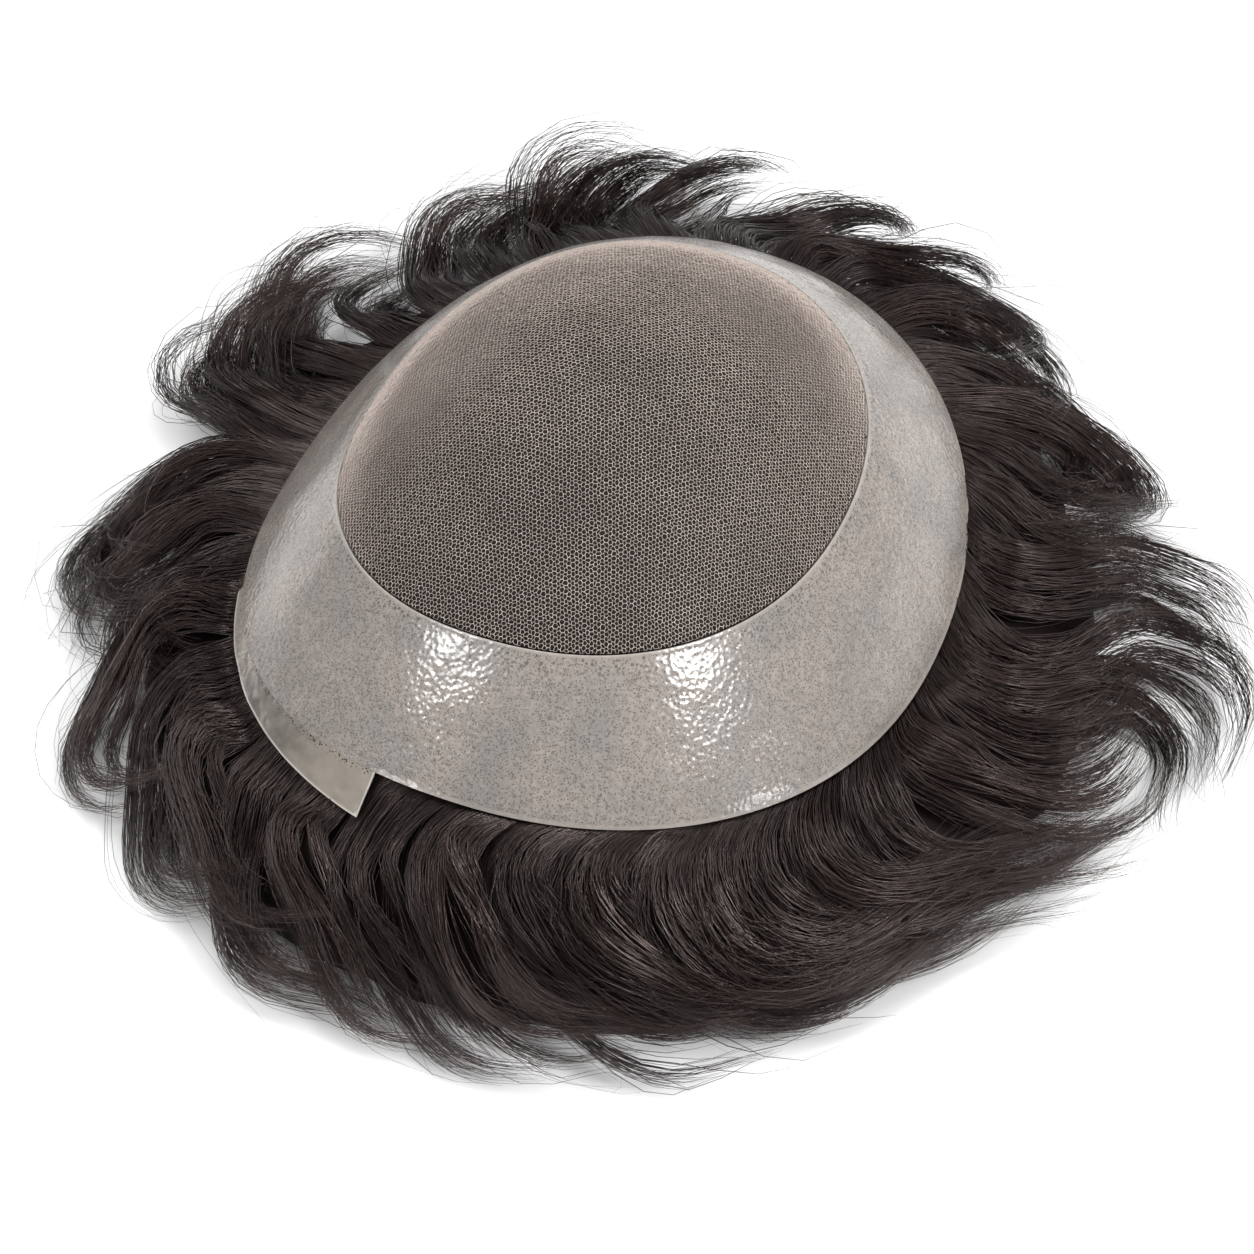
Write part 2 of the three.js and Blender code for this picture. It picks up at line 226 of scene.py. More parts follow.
def loft(loops: int, count: int, joined: bool) -> list[tuple[int, ...]]:
    """Lists the faces between closed loops of points.

    Args:
        loops: Number of loops.
        count: Points in each loop.
        joined: Whether the last loop meets the first again; if not, both ends get a cap.

    Returns:
        Corner numbers, with point j of loop i numbered i * count + j.
    """
    faces = []
    for i in range(loops if joined else loops - 1):
        here, there = i * count, ((i + 1) % loops) * count
        for j in range(count):
            k = (j + 1) % count
            faces.append((here + j, there + j, there + k, here + k))
    if not joined:
        end = (loops - 1) * count
        for j in range(count // 2 - 1):
            k = count - 1 - j
            faces.append((j, j + 1, k - 1, k))
            faces.append((end + k, end + k - 1, end + j + 1, end + j))
    return faces


class Graph:
    """Adds nodes to one node tree and joins them."""

    def __init__(self, tree: bpy.types.NodeTree) -> None:
        """Keeps the tree that the nodes go into."""
        self.tree = tree

    def add(self, kind: str, feeds: dict | None = None, **settings: object) -> bpy.types.Node:
        """Adds a node.

        Args:
            kind: Blender's name for the node.
            feeds: Values or other nodes' outputs, by input name or number.
            **settings: The node's own options.

        Returns:
            The new node.
        """
        node = self.tree.nodes.new(kind)
        for name, value in settings.items():
            setattr(node, name, value)
        for key, value in (feeds or {}).items():
            self.feed(node.inputs[key], value)
        return node

    def feed(self, socket: bpy.types.NodeSocket, value: object) -> None:
        """Joins an output to an input, or sets the input to a plain value."""
        if isinstance(value, bpy.types.NodeSocket):
            self.tree.links.new(value, socket)
        else:
            socket.default_value = value

    def math(self, operation: str, *values: object, clamp: bool = False) -> bpy.types.NodeSocket:
        """Adds a sum on numbers and gives its output."""
        feeds = dict(enumerate(values))
        return self.add("ShaderNodeMath", feeds, operation=operation, use_clamp=clamp).outputs[0]

    def times(self, value: object, factor: object) -> bpy.types.NodeSocket:
        """Multiplies two numbers."""
        return self.math("MULTIPLY", value, factor)

    def store(self, geometry: object, name: str, value: object) -> bpy.types.NodeSocket:
        """Stores a named number on every point of a geometry."""
        feeds = {"Geometry": geometry, "Name": name, "Value": value}
        node = self.add("GeometryNodeStoreNamedAttribute", feeds, data_type="FLOAT", domain="POINT")
        return node.outputs[0]

    def vector(self, operation: str, *values: object) -> bpy.types.NodeSocket:
        """Adds a sum on vectors and gives its vector output."""
        return self.add("ShaderNodeVectorMath", dict(enumerate(values)), operation=operation).outputs[0]

    def scaled(self, vector: object, factor: object) -> bpy.types.NodeSocket:
        """Multiplies a vector by a number."""
        return self.add("ShaderNodeVectorMath", {0: vector, "Scale": factor}, operation="SCALE").outputs[0]

    def mix(self, factor: object, low: object, high: object) -> bpy.types.NodeSocket:
        """Blends two numbers."""
        return self.add("ShaderNodeMix", {0: factor, 2: low, 3: high}, data_type="FLOAT").outputs[0]

    def mix_vector(self, factor: object, low: object, high: object) -> bpy.types.NodeSocket:
        """Blends two vectors."""
        return self.add("ShaderNodeMix", {0: factor, 4: low, 5: high}, data_type="VECTOR").outputs[1]

    def mix_color(self, factor: object, low: object, high: object) -> bpy.types.NodeSocket:
        """Blends two colours."""
        return self.add("ShaderNodeMix", {0: factor, 6: low, 7: high}, data_type="RGBA").outputs[2]

    def ramp(
        self, value: object, low: object, high: object, start: object = 0.0, end: object = 1.0
    ) -> bpy.types.NodeSocket:
        """Eases from start to end as the value goes from low to high."""
        feeds = {0: value, 1: low, 2: high, 3: start, 4: end}
        return self.add("ShaderNodeMapRange", feeds, interpolation_type="SMOOTHSTEP").outputs[0]

    def split(self, vector: object) -> bpy.types.bpy_prop_collection:
        """Gives the x, y and z outputs of a vector."""
        return self.add("ShaderNodeSeparateXYZ", {0: vector}).outputs

    def join(self, x: object, y: object, z: object) -> bpy.types.NodeSocket:
        """Builds a vector from three numbers."""
        return self.add("ShaderNodeCombineXYZ", {0: x, 1: y, 2: z}).outputs[0]


class GeometryTree(Graph):
    """Geometry Nodes tree with named inputs, run once to give a plain mesh."""

    def __init__(self, name: str, inputs: dict[str, str]) -> None:
        """Makes the tree's inputs, each with its kind of socket, and a material input."""
        super().__init__(bpy.data.node_groups.new(name, "GeometryNodeTree"))
        face = self.tree.interface
        face.new_socket("Geometry", in_out="INPUT", socket_type="NodeSocketGeometry")
        face.new_socket("Geometry", in_out="OUTPUT", socket_type="NodeSocketGeometry")
        self.keys: dict[str, str] = {}
        for label, kind in {**inputs, "Material": "Material"}.items():
            made = face.new_socket(label, in_out="INPUT", socket_type=f"NodeSocket{kind}")
            self.keys[label] = made.identifier
        self.entry = self.add("NodeGroupInput")

    def given(self, label: str) -> bpy.types.NodeSocket:
        """Gives the output that carries one of the tree's inputs."""
        return self.entry.outputs[label]

    def finish(self, geometry: bpy.types.NodeSocket) -> None:
        """Ends the tree in real geometry with its material set."""
        real = self.add("GeometryNodeRealizeInstances", {0: geometry}).outputs[0]
        feeds = {"Geometry": real, "Material": self.given("Material")}
        dressed = self.add("GeometryNodeSetMaterial", feeds).outputs[0]
        self.add("NodeGroupOutput", {0: dressed})

    def run(self, name: str, source: bpy.types.Mesh, values: dict[str, object]) -> bpy.types.Mesh:
        """Runs the tree on a mesh.

        Args:
            name: Name of the mesh that comes out.
            source: Mesh that goes in.
            values: The tree's inputs by name.

        Returns:
            The plain mesh that the tree makes.
        """
        carrier = new_object(f"{name}_source", source)
        modifier = carrier.modifiers.new("nodes", "NODES")
        modifier.node_group = self.tree
        for label, value in values.items():
            modifier[self.keys[label]] = value
        graph = bpy.context.evaluated_depsgraph_get()
        mesh = bpy.data.meshes.new_from_object(carrier.evaluated_get(graph))
        mesh.name = name
        bpy.data.objects.remove(carrier)
        return mesh


class Effects:
    """Shader node groups that more than one finish uses, each built once."""

    made: dict[str, bpy.types.NodeTree] = {}

    @classmethod
    def start(cls, name: str, inputs: dict[str, float], output: str) -> tuple[Graph, dict, bpy.types.Node]:
        """Starts a group with number inputs and one number output.

        Args:
            name: Name of the group.
            inputs: Input names with their usual values.
            output: Name of the output.

        Returns:
            The graph, its inputs by name, and its output node.
        """
        tree = bpy.data.node_groups.new(name, "ShaderNodeTree")
        for label, value in inputs.items():
            made = tree.interface.new_socket(label, in_out="INPUT", socket_type="NodeSocketFloat")
            made.default_value = value
        tree.interface.new_socket(output, in_out="OUTPUT", socket_type="NodeSocketFloat")
        graph = Graph(tree)
        entry = graph.add("NodeGroupInput")
        cls.made[name] = tree
        return graph, {label: entry.outputs[label] for label in inputs}, graph.add("NodeGroupOutput")

    @classmethod
    def cloud(cls) -> bpy.types.NodeTree:
        """Gives soft patches, 0 to 1, of a chosen size per metre and contrast."""
        if "cloud" not in cls.made:
            graph, given, out = cls.start("cloud", {"Scale": 80.0, "Low": 0.35, "High": 0.65}, "Mask")
            place = graph.add("ShaderNodeTexCoord").outputs["Object"]
            feeds = {"Vector": place, "Scale": given["Scale"], "Detail": 3.0, "Roughness": 0.55}
            patches = graph.add("ShaderNodeTexNoise", feeds).outputs[0]
            graph.feed(out.inputs[0], graph.ramp(patches, given["Low"], given["High"]))
        return cls.made["cloud"]

    @classmethod
    def dots(cls) -> bpy.types.NodeTree:
        """Gives small round marks, 1 in a mark, where single hairs pass through the film."""
        if "dots" not in cls.made:
            graph, given, out = cls.start("dots", {"Scale": 900.0, "Size": 0.3, "Share": 0.6}, "Mask")
            place = graph.add("ShaderNodeTexCoord").outputs["Object"]
            cells = graph.add("ShaderNodeTexVoronoi", {"Vector": place, "Scale": given["Scale"]})
            pick = graph.add("ShaderNodeSeparateColor", {0: cells.outputs["Color"]}).outputs
            size = graph.times(given["Size"], graph.math("MULTIPLY_ADD", pick[0], 0.8, 0.5))
            near = graph.math("SUBTRACT", size, cells.outputs["Distance"])
            mark = graph.ramp(near, -0.06, 0.06)
            kept = graph.math("LESS_THAN", pick[1], given["Share"])
            graph.feed(out.inputs[0], graph.times(mark, kept))
        return cls.made["dots"]

    @classmethod
    def pebble(cls) -> bpy.types.NodeTree:
        """Gives the pebbled height of a cast film, 0 to 1."""
        if "pebble" not in cls.made:
            graph, given, out = cls.start("pebble", {"Scale": 700.0, "Grain": 0.35}, "Height")
            place = graph.add("ShaderNodeTexCoord").outputs["Object"]
            feeds = {"Vector": place, "Scale": given["Scale"], "Smoothness": 0.6}
            cells = graph.add("ShaderNodeTexVoronoi", feeds, feature="SMOOTH_F1").outputs["Distance"]
            feeds = {"Vector": place, "Scale": graph.times(given["Scale"], 0.45), "Detail": 2.0}
            swell = graph.add("ShaderNodeTexNoise", feeds).outputs[0]
            graph.feed(out.inputs[0], graph.mix(given["Grain"], swell, cells))
        return cls.made["pebble"]


class Finish(Graph):
    """A material under construction, with its own surface shader."""

    def __init__(self, name: str, **surface: object) -> None:
        """Starts the material and sets what is the same all over it.

        Args:
            name: Name of the material.
            **surface: Plain values of the surface shader, with _ for each space in a name.
        """
        self.material = bpy.data.materials.new(name)
        self.material.use_nodes = True
        super().__init__(self.material.node_tree)
        self.surface = self.tree.nodes["Principled BSDF"]
        for label, value in surface.items():
            self.surface.inputs[label.replace("_", " ")].default_value = value

    def effect(self, group: bpy.types.NodeTree, **values: object) -> bpy.types.NodeSocket:
        """Places a shared effect with its own values and gives its output."""
        node = self.add("ShaderNodeGroup", node_tree=group)
        for label, value in values.items():
            self.feed(node.inputs[label], value)
        return node.outputs[0]

    def reading(self, name: str) -> bpy.types.NodeSocket:
        """Reads a named number that is stored on the mesh."""
        return self.add("ShaderNodeAttribute", attribute_name=name).outputs["Fac"]

    def color(self, value: object) -> None:
        """Sets the base colour."""
        self.feed(self.surface.inputs["Base Color"], value)

    def roughness(self, value: object) -> None:
        """Sets the roughness."""
        self.feed(self.surface.inputs["Roughness"], value)

    def bump(self, height: object, distance: float, strength: float = 1.0) -> None:
        """Adds fine relief of a depth in metres."""
        feeds = {"Height": height, "Distance": distance, "Strength": strength}
        made = self.add("ShaderNodeBump", feeds).outputs[0]
        self.feed(self.surface.inputs["Normal"], made)


@dataclass(frozen=True)
class LaceFinish:
    """Greige lace with dark hair behind its holes."""

    hole: tuple = linear(8, 6, 5)
    thread: tuple = linear(172, 157, 148)
    # Painted glints: a few knots of the lace drawn near white.
    knot_glint: tuple = linear(222, 207, 198)
    # Thread colour of a paler band towards the back-left edge of the lace.
    pale_band: tuple = linear(186, 174, 165)

    def material(self) -> bpy.types.Material:
        """Builds the material; the mesh says where thread is 1 and hole is 0."""
        made = Finish("lace_net", Roughness=0.62, Specular_IOR_Level=0.35)
        thread = made.reading("thread")
        patches = made.effect(Effects.cloud(), Scale=55.0, Low=0.3, High=0.7)
        border = made.reading("border")
        # Towards the back-left edge the holes close up and the thread turns paler.
        edge = made.math("MULTIPLY_ADD", border, -0.17, made.mix(patches, 0.87, 0.897))
        cover = made.ramp(thread, made.math("SUBTRACT", edge, 0.06), made.math("ADD", edge, 0.08))
        # Painted glints on a few knots of the thread.
        yarn = made.mix_color(made.reading("knot_glint"), self.thread, self.knot_glint)
        yarn = made.mix_color(made.times(border, 0.4), yarn, self.pale_band)
        made.color(made.mix_color(cover, self.hole, yarn))
        made.roughness(made.mix(cover, 0.8, 0.55))
        return made.material


@dataclass(frozen=True)
class SkinFinish:
    """Thin cast film over dark hair: mottled beige and grey, with a wet shine."""

    beige: tuple = linear(153, 144, 137)
    grey: tuple = linear(136, 131, 127)
    pale: tuple = linear(172, 165, 157)
    root: tuple = linear(46, 41, 38)

    def material(self) -> bpy.types.Material:
        """Builds the material; the mesh gives distances from the net and from the rim."""
        made = Finish("poly_skin", Specular_IOR_Level=0.75)
        seam, rim = made.reading("from_net"), made.reading("from_rim")
        patches = made.effect(Effects.cloud(), Scale=70.0, Low=0.33, High=0.68)
        fine = made.effect(Effects.cloud(), Scale=700.0, Low=0.3, High=0.7)
        base = made.mix_color(patches, self.grey, self.beige)
        specks = made.mix_color(0.45, self.grey, self.root)
        base = made.mix_color(made.times(fine, 0.4), base, specks)
        small = made.effect(Effects.dots(), Scale=2150.0, Size=0.4, Share=0.85)
        large = made.effect(Effects.dots(), Scale=1050.0, Size=0.34, Share=0.75)
        close = made.math("MULTIPLY_ADD", made.ramp(seam, 7.0, 0.5), 0.45, 0.2)
        marks = made.math("MAXIMUM", made.times(small, 0.55), made.times(large, close))
        away = made.times(made.ramp(rim, 0.3, 1.0), made.ramp(seam, 0.2, 0.8))
        base = made.mix_color(made.times(marks, away), base, self.root)
        edge = made.math("SUBTRACT", 1.0, away)
        base = made.mix_color(made.times(edge, 0.35), base, self.pale)
        made.color(base)
        made.roughness(made.mix(patches, 0.22, 0.16))
        relief = made.effect(Effects.pebble(), Scale=820.0, Grain=0.6)
        made.bump(relief, 0.0002, 0.8)
        return made.material


@dataclass(frozen=True)
class FilmFinish:
    """The clear strip: the same film with no hair in it, slightly creased."""

    tip: tuple = linear(136, 128, 118)
    start: tuple = linear(142, 134, 128)
    middle: tuple = linear(98, 93, 88)
    crease: tuple = linear(158, 151, 142)
    # Painted highlight: a near-white line where light catches the film's cut edge.
    edge: tuple = linear(205, 200, 193)
    root: tuple = linear(40, 36, 33)

    def material(self) -> bpy.types.Material:
        """Builds the material; the mesh gives the share along the strip."""
        made = Finish("clear_film", Specular_IOR_Level=0.75)
        along = made.reading("along")
        patches = made.effect(Effects.cloud(), Scale=190.0, Low=0.35, High=0.65)
        base = made.mix_color(made.ramp(along, 0.28, 0.5), self.start, self.middle)
        base = made.mix_color(made.ramp(along, 0.66, 0.88), base, self.tip)
        base = made.mix_color(made.times(patches, 0.3), base, self.crease)
        haired = made.times(made.ramp(along, 0.6, 0.35), 0.45)
        fine = made.effect(Effects.dots(), Scale=2150.0, Size=0.4, Share=0.85)
        base = made.mix_color(made.times(fine, haired), base, self.root)
        near = made.ramp(made.reading("from_rim"), 1.3, 0.5)
        beside = made.times(near, made.ramp(along, 0.25, 0.5))
        roots = made.effect(Effects.dots(), Scale=1900.0, Size=0.36, Share=0.9)
        base = made.mix_color(made.times(roots, beside), base, self.root)
        # Painted highlight along the outer edge and the end of the strip.
        line = made.times(made.ramp(made.reading("from_edge"), 0.45, 0.1), 0.7)
        made.color(made.mix_color(line, base, self.edge))
        made.roughness(made.mix(patches, 0.2, 0.12))
        made.bump(made.effect(Effects.pebble(), Scale=330.0, Grain=0.3), 0.0009, 0.8)
        return made.material


@dataclass(frozen=True)
class HairFinish:
    """Black-brown hair with a soft shine."""

    name: str = "dark_hair"
    dark: tuple = (0.0035, 0.0022, 0.002, 1.0)
    light: tuple = (0.052, 0.03, 0.0245, 1.0)
    tip: tuple = (0.032, 0.019, 0.0155, 1.0)
    shine: tuple = (1.0, 0.82, 0.77, 1.0)
    gloss: float = 0.7
    dull: float = 0.0

    def material(self) -> bpy.types.Material:
        """Builds the material; the mesh gives each strand's tone with painted shade worked in, and the share
        along it.
        """
        made = Finish(self.name, Specular_IOR_Level=self.gloss, Specular_Tint=self.shine)
        tone_and_shade, along = made.reading("tone_and_shade"), made.reading("along")
        patches = made.effect(Effects.cloud(), Scale=160.0, Low=0.3, High=0.7)
        # The tone mixes each strand's own random tone with painted shade between locks, across broad waves and
        # towards the roots.
        blend = made.times(tone_and_shade, made.mix(patches, 0.55, 1.0))
        base = made.mix_color(blend, self.dark, self.light)
        base = made.mix_color(made.times(made.ramp(along, 0.75, 1.0), 0.4), base, self.tip)
        made.color(base)
        made.roughness(made.mix(tone_and_shade, 0.32 + self.dull, 0.2 + self.dull))
        return made.material


@dataclass(frozen=True)
class TableFinish:
    """Plain pale surface."""

    def material(self) -> bpy.types.Material:
        """Builds the material."""
        made = Finish("table", Roughness=0.7, Specular_IOR_Level=0.2)
        patches = made.effect(Effects.cloud(), Scale=4.0, Low=0.2, High=0.8)
        made.color(made.mix_color(patches, linear(245, 245, 245), linear(248, 248, 248)))
        return made.material


class Slot(Enum):
    """Material slots of the record."""

    LACE = "lace_net"
    SKIN = "poly_skin"
    FILM = "clear_film"
    HAIR = "dark_hair"


def enrol(piece: bpy.types.Object, node: str) -> None:
    """Lets a piece stand for a node of the part and reports it.

    Args:
        piece: The finished piece.
        node: Name of the node that it stands for.
    """
    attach(piece, BODY)
    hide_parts(node)
    piece.data.calc_loop_triangles()
    LOG.info("%s: %d triangles", piece.name, len(piece.data.loop_triangles))


@dataclass
class NetCentre:
    """The oval window of fine hexagonal lace."""

    pitch: float = 1.02
    turn: float = 23.0
    hole_depth: float = 0.75
    waviness: float = 1.15
    wall: float = 1.0
    gap: float = 0.15
    flat_width: float = 133.0
    flat_length: float = 150.0
    flat_roundness: float = 2.15
    spare: float = 1.12
    seed: float = 4.0
    knot_glint_rarity: float = 2.5
    wave_scale: float = 750.0
    weave_height: float = 0.12
    weave_size: float = 2.1
    rings: int = 6
    pale_band_toward: float = 125.0
    pale_band_from: float = 0.78
    pale_band_blend: float = 0.26

    def lattice(self) -> GeometryTree:
        """Builds the tree that makes the flat lace: a sunk point in the middle of each hole."""
        sizes = dict.fromkeys(("Width", "Length", "Roundness", "Pitch", "Turn", "Waviness", "Seed"), "Float")
        tree = GeometryTree("lace_lattice", {**sizes, "Columns": "Int", "Rows": "Int"})
        step = tree.math("DIVIDE", tree.given("Pitch"), math.sqrt(3))
        rise = tree.math("DIVIDE", tree.given("Pitch"), 2.0)
        size_x = tree.times(step, tree.math("SUBTRACT", tree.given("Columns"), 1.0))
        size_y = tree.times(rise, tree.math("SUBTRACT", tree.given("Rows"), 1.0))
        feeds = {"Size X": size_x, "Size Y": size_y, "Vertices X": tree.given("Columns")}
        feeds["Vertices Y"] = tree.given("Rows")
        grid = tree.add("GeometryNodeMeshGrid", feeds).outputs[0]
        place = tree.add("GeometryNodeInputPosition").outputs[0]
        x, y, _ = tree.split(place)
        column = tree.math("ROUND", tree.math("DIVIDE", tree.math("MULTIPLY_ADD", size_x, 0.5, x), step))
        row = tree.math("ROUND", tree.math("DIVIDE", tree.math("MULTIPLY_ADD", size_y, 0.5, y), rise))
        odd = tree.math("FLOORED_MODULO", row, 2.0)
        half_rows = tree.math("FLOOR", tree.times(row, 0.5))
        kind = tree.math("SUBTRACT", tree.math("SUBTRACT", column, half_rows), row)
        corner = tree.math("GREATER_THAN", tree.math("FLOORED_MODULO", kind, 3.0), 0.5)
        marked = tree.store(grid, "thread", corner)
        spot = tree.math("ADD", tree.add("GeometryNodeInputIndex").outputs[0], tree.given("Seed"))
        # A few knots at random get painted glints.
        luck = tree.add("ShaderNodeTexWhiteNoise", {"W": spot}, noise_dimensions="1D").outputs[0]
        marked = tree.store(marked, "knot_glint", tree.math("POWER", luck, self.knot_glint_rarity))
        shift = tree.join(tree.times(odd, tree.times(step, 0.5)), 0.0, 0.0)
        offset = tree.add("GeometryNodeSetPosition", {"Geometry": marked, "Offset": shift}).outputs[0]
        mesh = tree.add("GeometryNodeTriangulate", {0: offset}).outputs[0]
        feeds = {"Vector": place, "Angle": tree.given("Turn")}
        turned = tree.add("ShaderNodeVectorRotate", feeds, rotation_type="Z_AXIS").outputs[0]
        feeds = {"Vector": turned, "W": tree.given("Seed"), "Scale": self.wave_scale, "Detail": 0.0}
        swell = tree.add("ShaderNodeTexNoise", feeds, noise_dimensions="4D").outputs["Color"]
        wobble = tree.scaled(tree.vector("SUBTRACT", swell, (0.5, 0.5, 0.5)), tree.given("Waviness"))
        moved = tree.vector("ADD", turned, tree.vector("MULTIPLY", wobble, (1.0, 1.0, 0.0)))
        mesh = tree.add("GeometryNodeSetPosition", {"Geometry": mesh, "Position": moved}).outputs[0]
        x, y, _ = tree.split(place)
        power = tree.given("Roundness")
        half_width = tree.times(tree.given("Width"), 0.5)
        half_length = tree.times(tree.given("Length"), 0.5)
        across = tree.math("DIVIDE", tree.math("ABSOLUTE", x), half_width)
        along = tree.math("DIVIDE", tree.math("ABSOLUTE", y), half_length)
        total = tree.math("ADD", tree.math("POWER", across, power), tree.math("POWER", along, power))
        share = tree.math("POWER", total, tree.math("DIVIDE", 1.0, power))
        feeds = {"Geometry": mesh, "Selection": tree.math("GREATER_THAN", share, 1.0)}
        mesh = tree.add("GeometryNodeDeleteGeometry", feeds, domain="FACE").outputs[0]
        tree.finish(mesh)
        return tree

    def flat_share(self, x: np.ndarray, y: np.ndarray) -> np.ndarray:
        """Gives how far out flat points lie, 1 at the edge of the lace."""
        across = np.abs(x) / (self.flat_width / 2)
        along = np.abs(y) / (self.flat_length / 2)
        return (across**self.flat_roundness + along**self.flat_roundness) ** (1 / self.flat_roundness)

    def drape(self, shares: np.ndarray, angle: np.ndarray, offset: np.ndarray) -> np.ndarray:
        """Lays flat lace over the dome, keeping its lengths from the crown outwards.

        Args:
            shares: Share of the way from the crown to the edge of the lace.
            angle: Direction from the crown axis, in radians.
            offset: Distance out from the dome, in millimetres.

        Returns:
            One row of x, y and z for each point.
        """
        outer = DOME.net.radius(angle) - self.gap
        radii, lengths = DOME.arcs(angle, outer)
        wanted = shares * lengths[:, -1]
        last = lengths.shape[1] - 2
        index = np.clip((lengths <= wanted[:, None]).sum(axis=1) - 1, 0, last)
        rows = np.arange(len(angle))
        low, high = lengths[rows, index], lengths[rows, index + 1]
        part = (wanted - low) / (high - low)
        radius = radii[rows, index] + part * (radii[rows, index + 1] - radii[rows, index])
        return DOME.point(angle, radius, offset)

    def build(self) -> bpy.types.Object:
        """Makes the lace as one closed body on the dome."""
        material = LaceFinish().material()
        span = self.spare * max(self.flat_width, self.flat_length)
        values = {
            "Width": self.flat_width * MM,
            "Length": self.flat_length * MM,
            "Roundness": self.flat_roundness,
            "Pitch": self.pitch * MM,
            "Turn": math.radians(self.turn),
            "Waviness": self.waviness * MM,
            "Seed": self.seed,
            "Columns": int(span / self.pitch * math.sqrt(3)),
            "Rows": int(span / self.pitch * 2),
            "Material": material,
        }
        mesh = self.lattice().run("net_lace", bpy.data.meshes.new("blank"), values)
        count = len(mesh.vertices)
        flat = np.zeros(count * 3)
        mesh.vertices.foreach_get("co", flat)
        flat = flat.reshape(-1, 3) / MM
        thread = np.zeros(count, np.float32)
        mesh.attributes["thread"].data.foreach_get("value", thread)
        shell = bmesh.new()
        shell.from_mesh(mesh)
        shell.verts.ensure_lookup_table()
        rim_edges = [edge for edge in shell.edges if edge.is_boundary]
        on_rim = np.zeros(count, bool)
        on_rim[[vert.index for edge in rim_edges for vert in edge.verts]] = True
        angle = np.arctan2(flat[:, 1], flat[:, 0])
        share = np.where(on_rim, 1.0, np.minimum(self.flat_share(flat[:, 0], flat[:, 1]), 0.999))
        weave = self.weave_height * ripple(flat, self.weave_size, 3.0)
        offset = np.where(on_rim, 0.0, weave - self.hole_depth * (1 - thread))
        for vert, place in zip(shell.verts, self.drape(share, angle, offset) * MM + AXIS):
            vert.co = place
        self.close(shell, rim_edges)
        # Marks the paler, closer-knit band towards the back-left edge of the lace.
        layer = shell.verts.layers.float.new("border")
        pale_band = smooth((share - self.pale_band_from) / self.pale_band_blend)
        pale_band = pale_band * smooth(0.5 + 0.8 * np.cos(angle - math.radians(self.pale_band_toward)))
        for vert, value in zip(shell.verts, pale_band):
            vert[layer] = value
        bmesh.ops.recalc_face_normals(shell, faces=shell.faces)
        shell.to_mesh(mesh)
        shell.free()
        mesh.shade_smooth()
        piece = new_object("net_lace", mesh)
        enrol(piece, "net_centre")
        return piece

    def close(self, shell: bmesh.types.BMesh, edges: list[bmesh.types.BMEdge]) -> None:
        """Adds the edge wall and the plain underside.

        Args:
            shell: The open lace, which is closed in place.
            edges: Its outer edges.
        """
        for ring in range(self.rings):
            made = bmesh.ops.extrude_edge_only(shell, edges=edges)["geom"]
            fresh = [item for item in made if isinstance(item, bmesh.types.BMVert)]
            edges = [item for item in made if isinstance(item, bmesh.types.BMEdge)]
            edges = [edge for edge in edges if edge.is_boundary]
            places = [vert.co.copy() for vert in fresh]
            around = np.array([math.atan2(p.y - AXIS[1], p.x - AXIS[0]) for p in places])
            share = np.full(len(fresh), 1 - ring / self.rings)
            wall = np.full(len(fresh), -self.wall)
            for vert, place in zip(fresh, self.drape(share, around, wall) * MM + AXIS):
                vert.co = place
        crown = shell.verts.new(Vector(DOME.point(0.0, 0.0, -self.wall) * MM + AXIS))
        for edge in edges:
            shell.faces.new((edge.verts[0], edge.verts[1], crown))


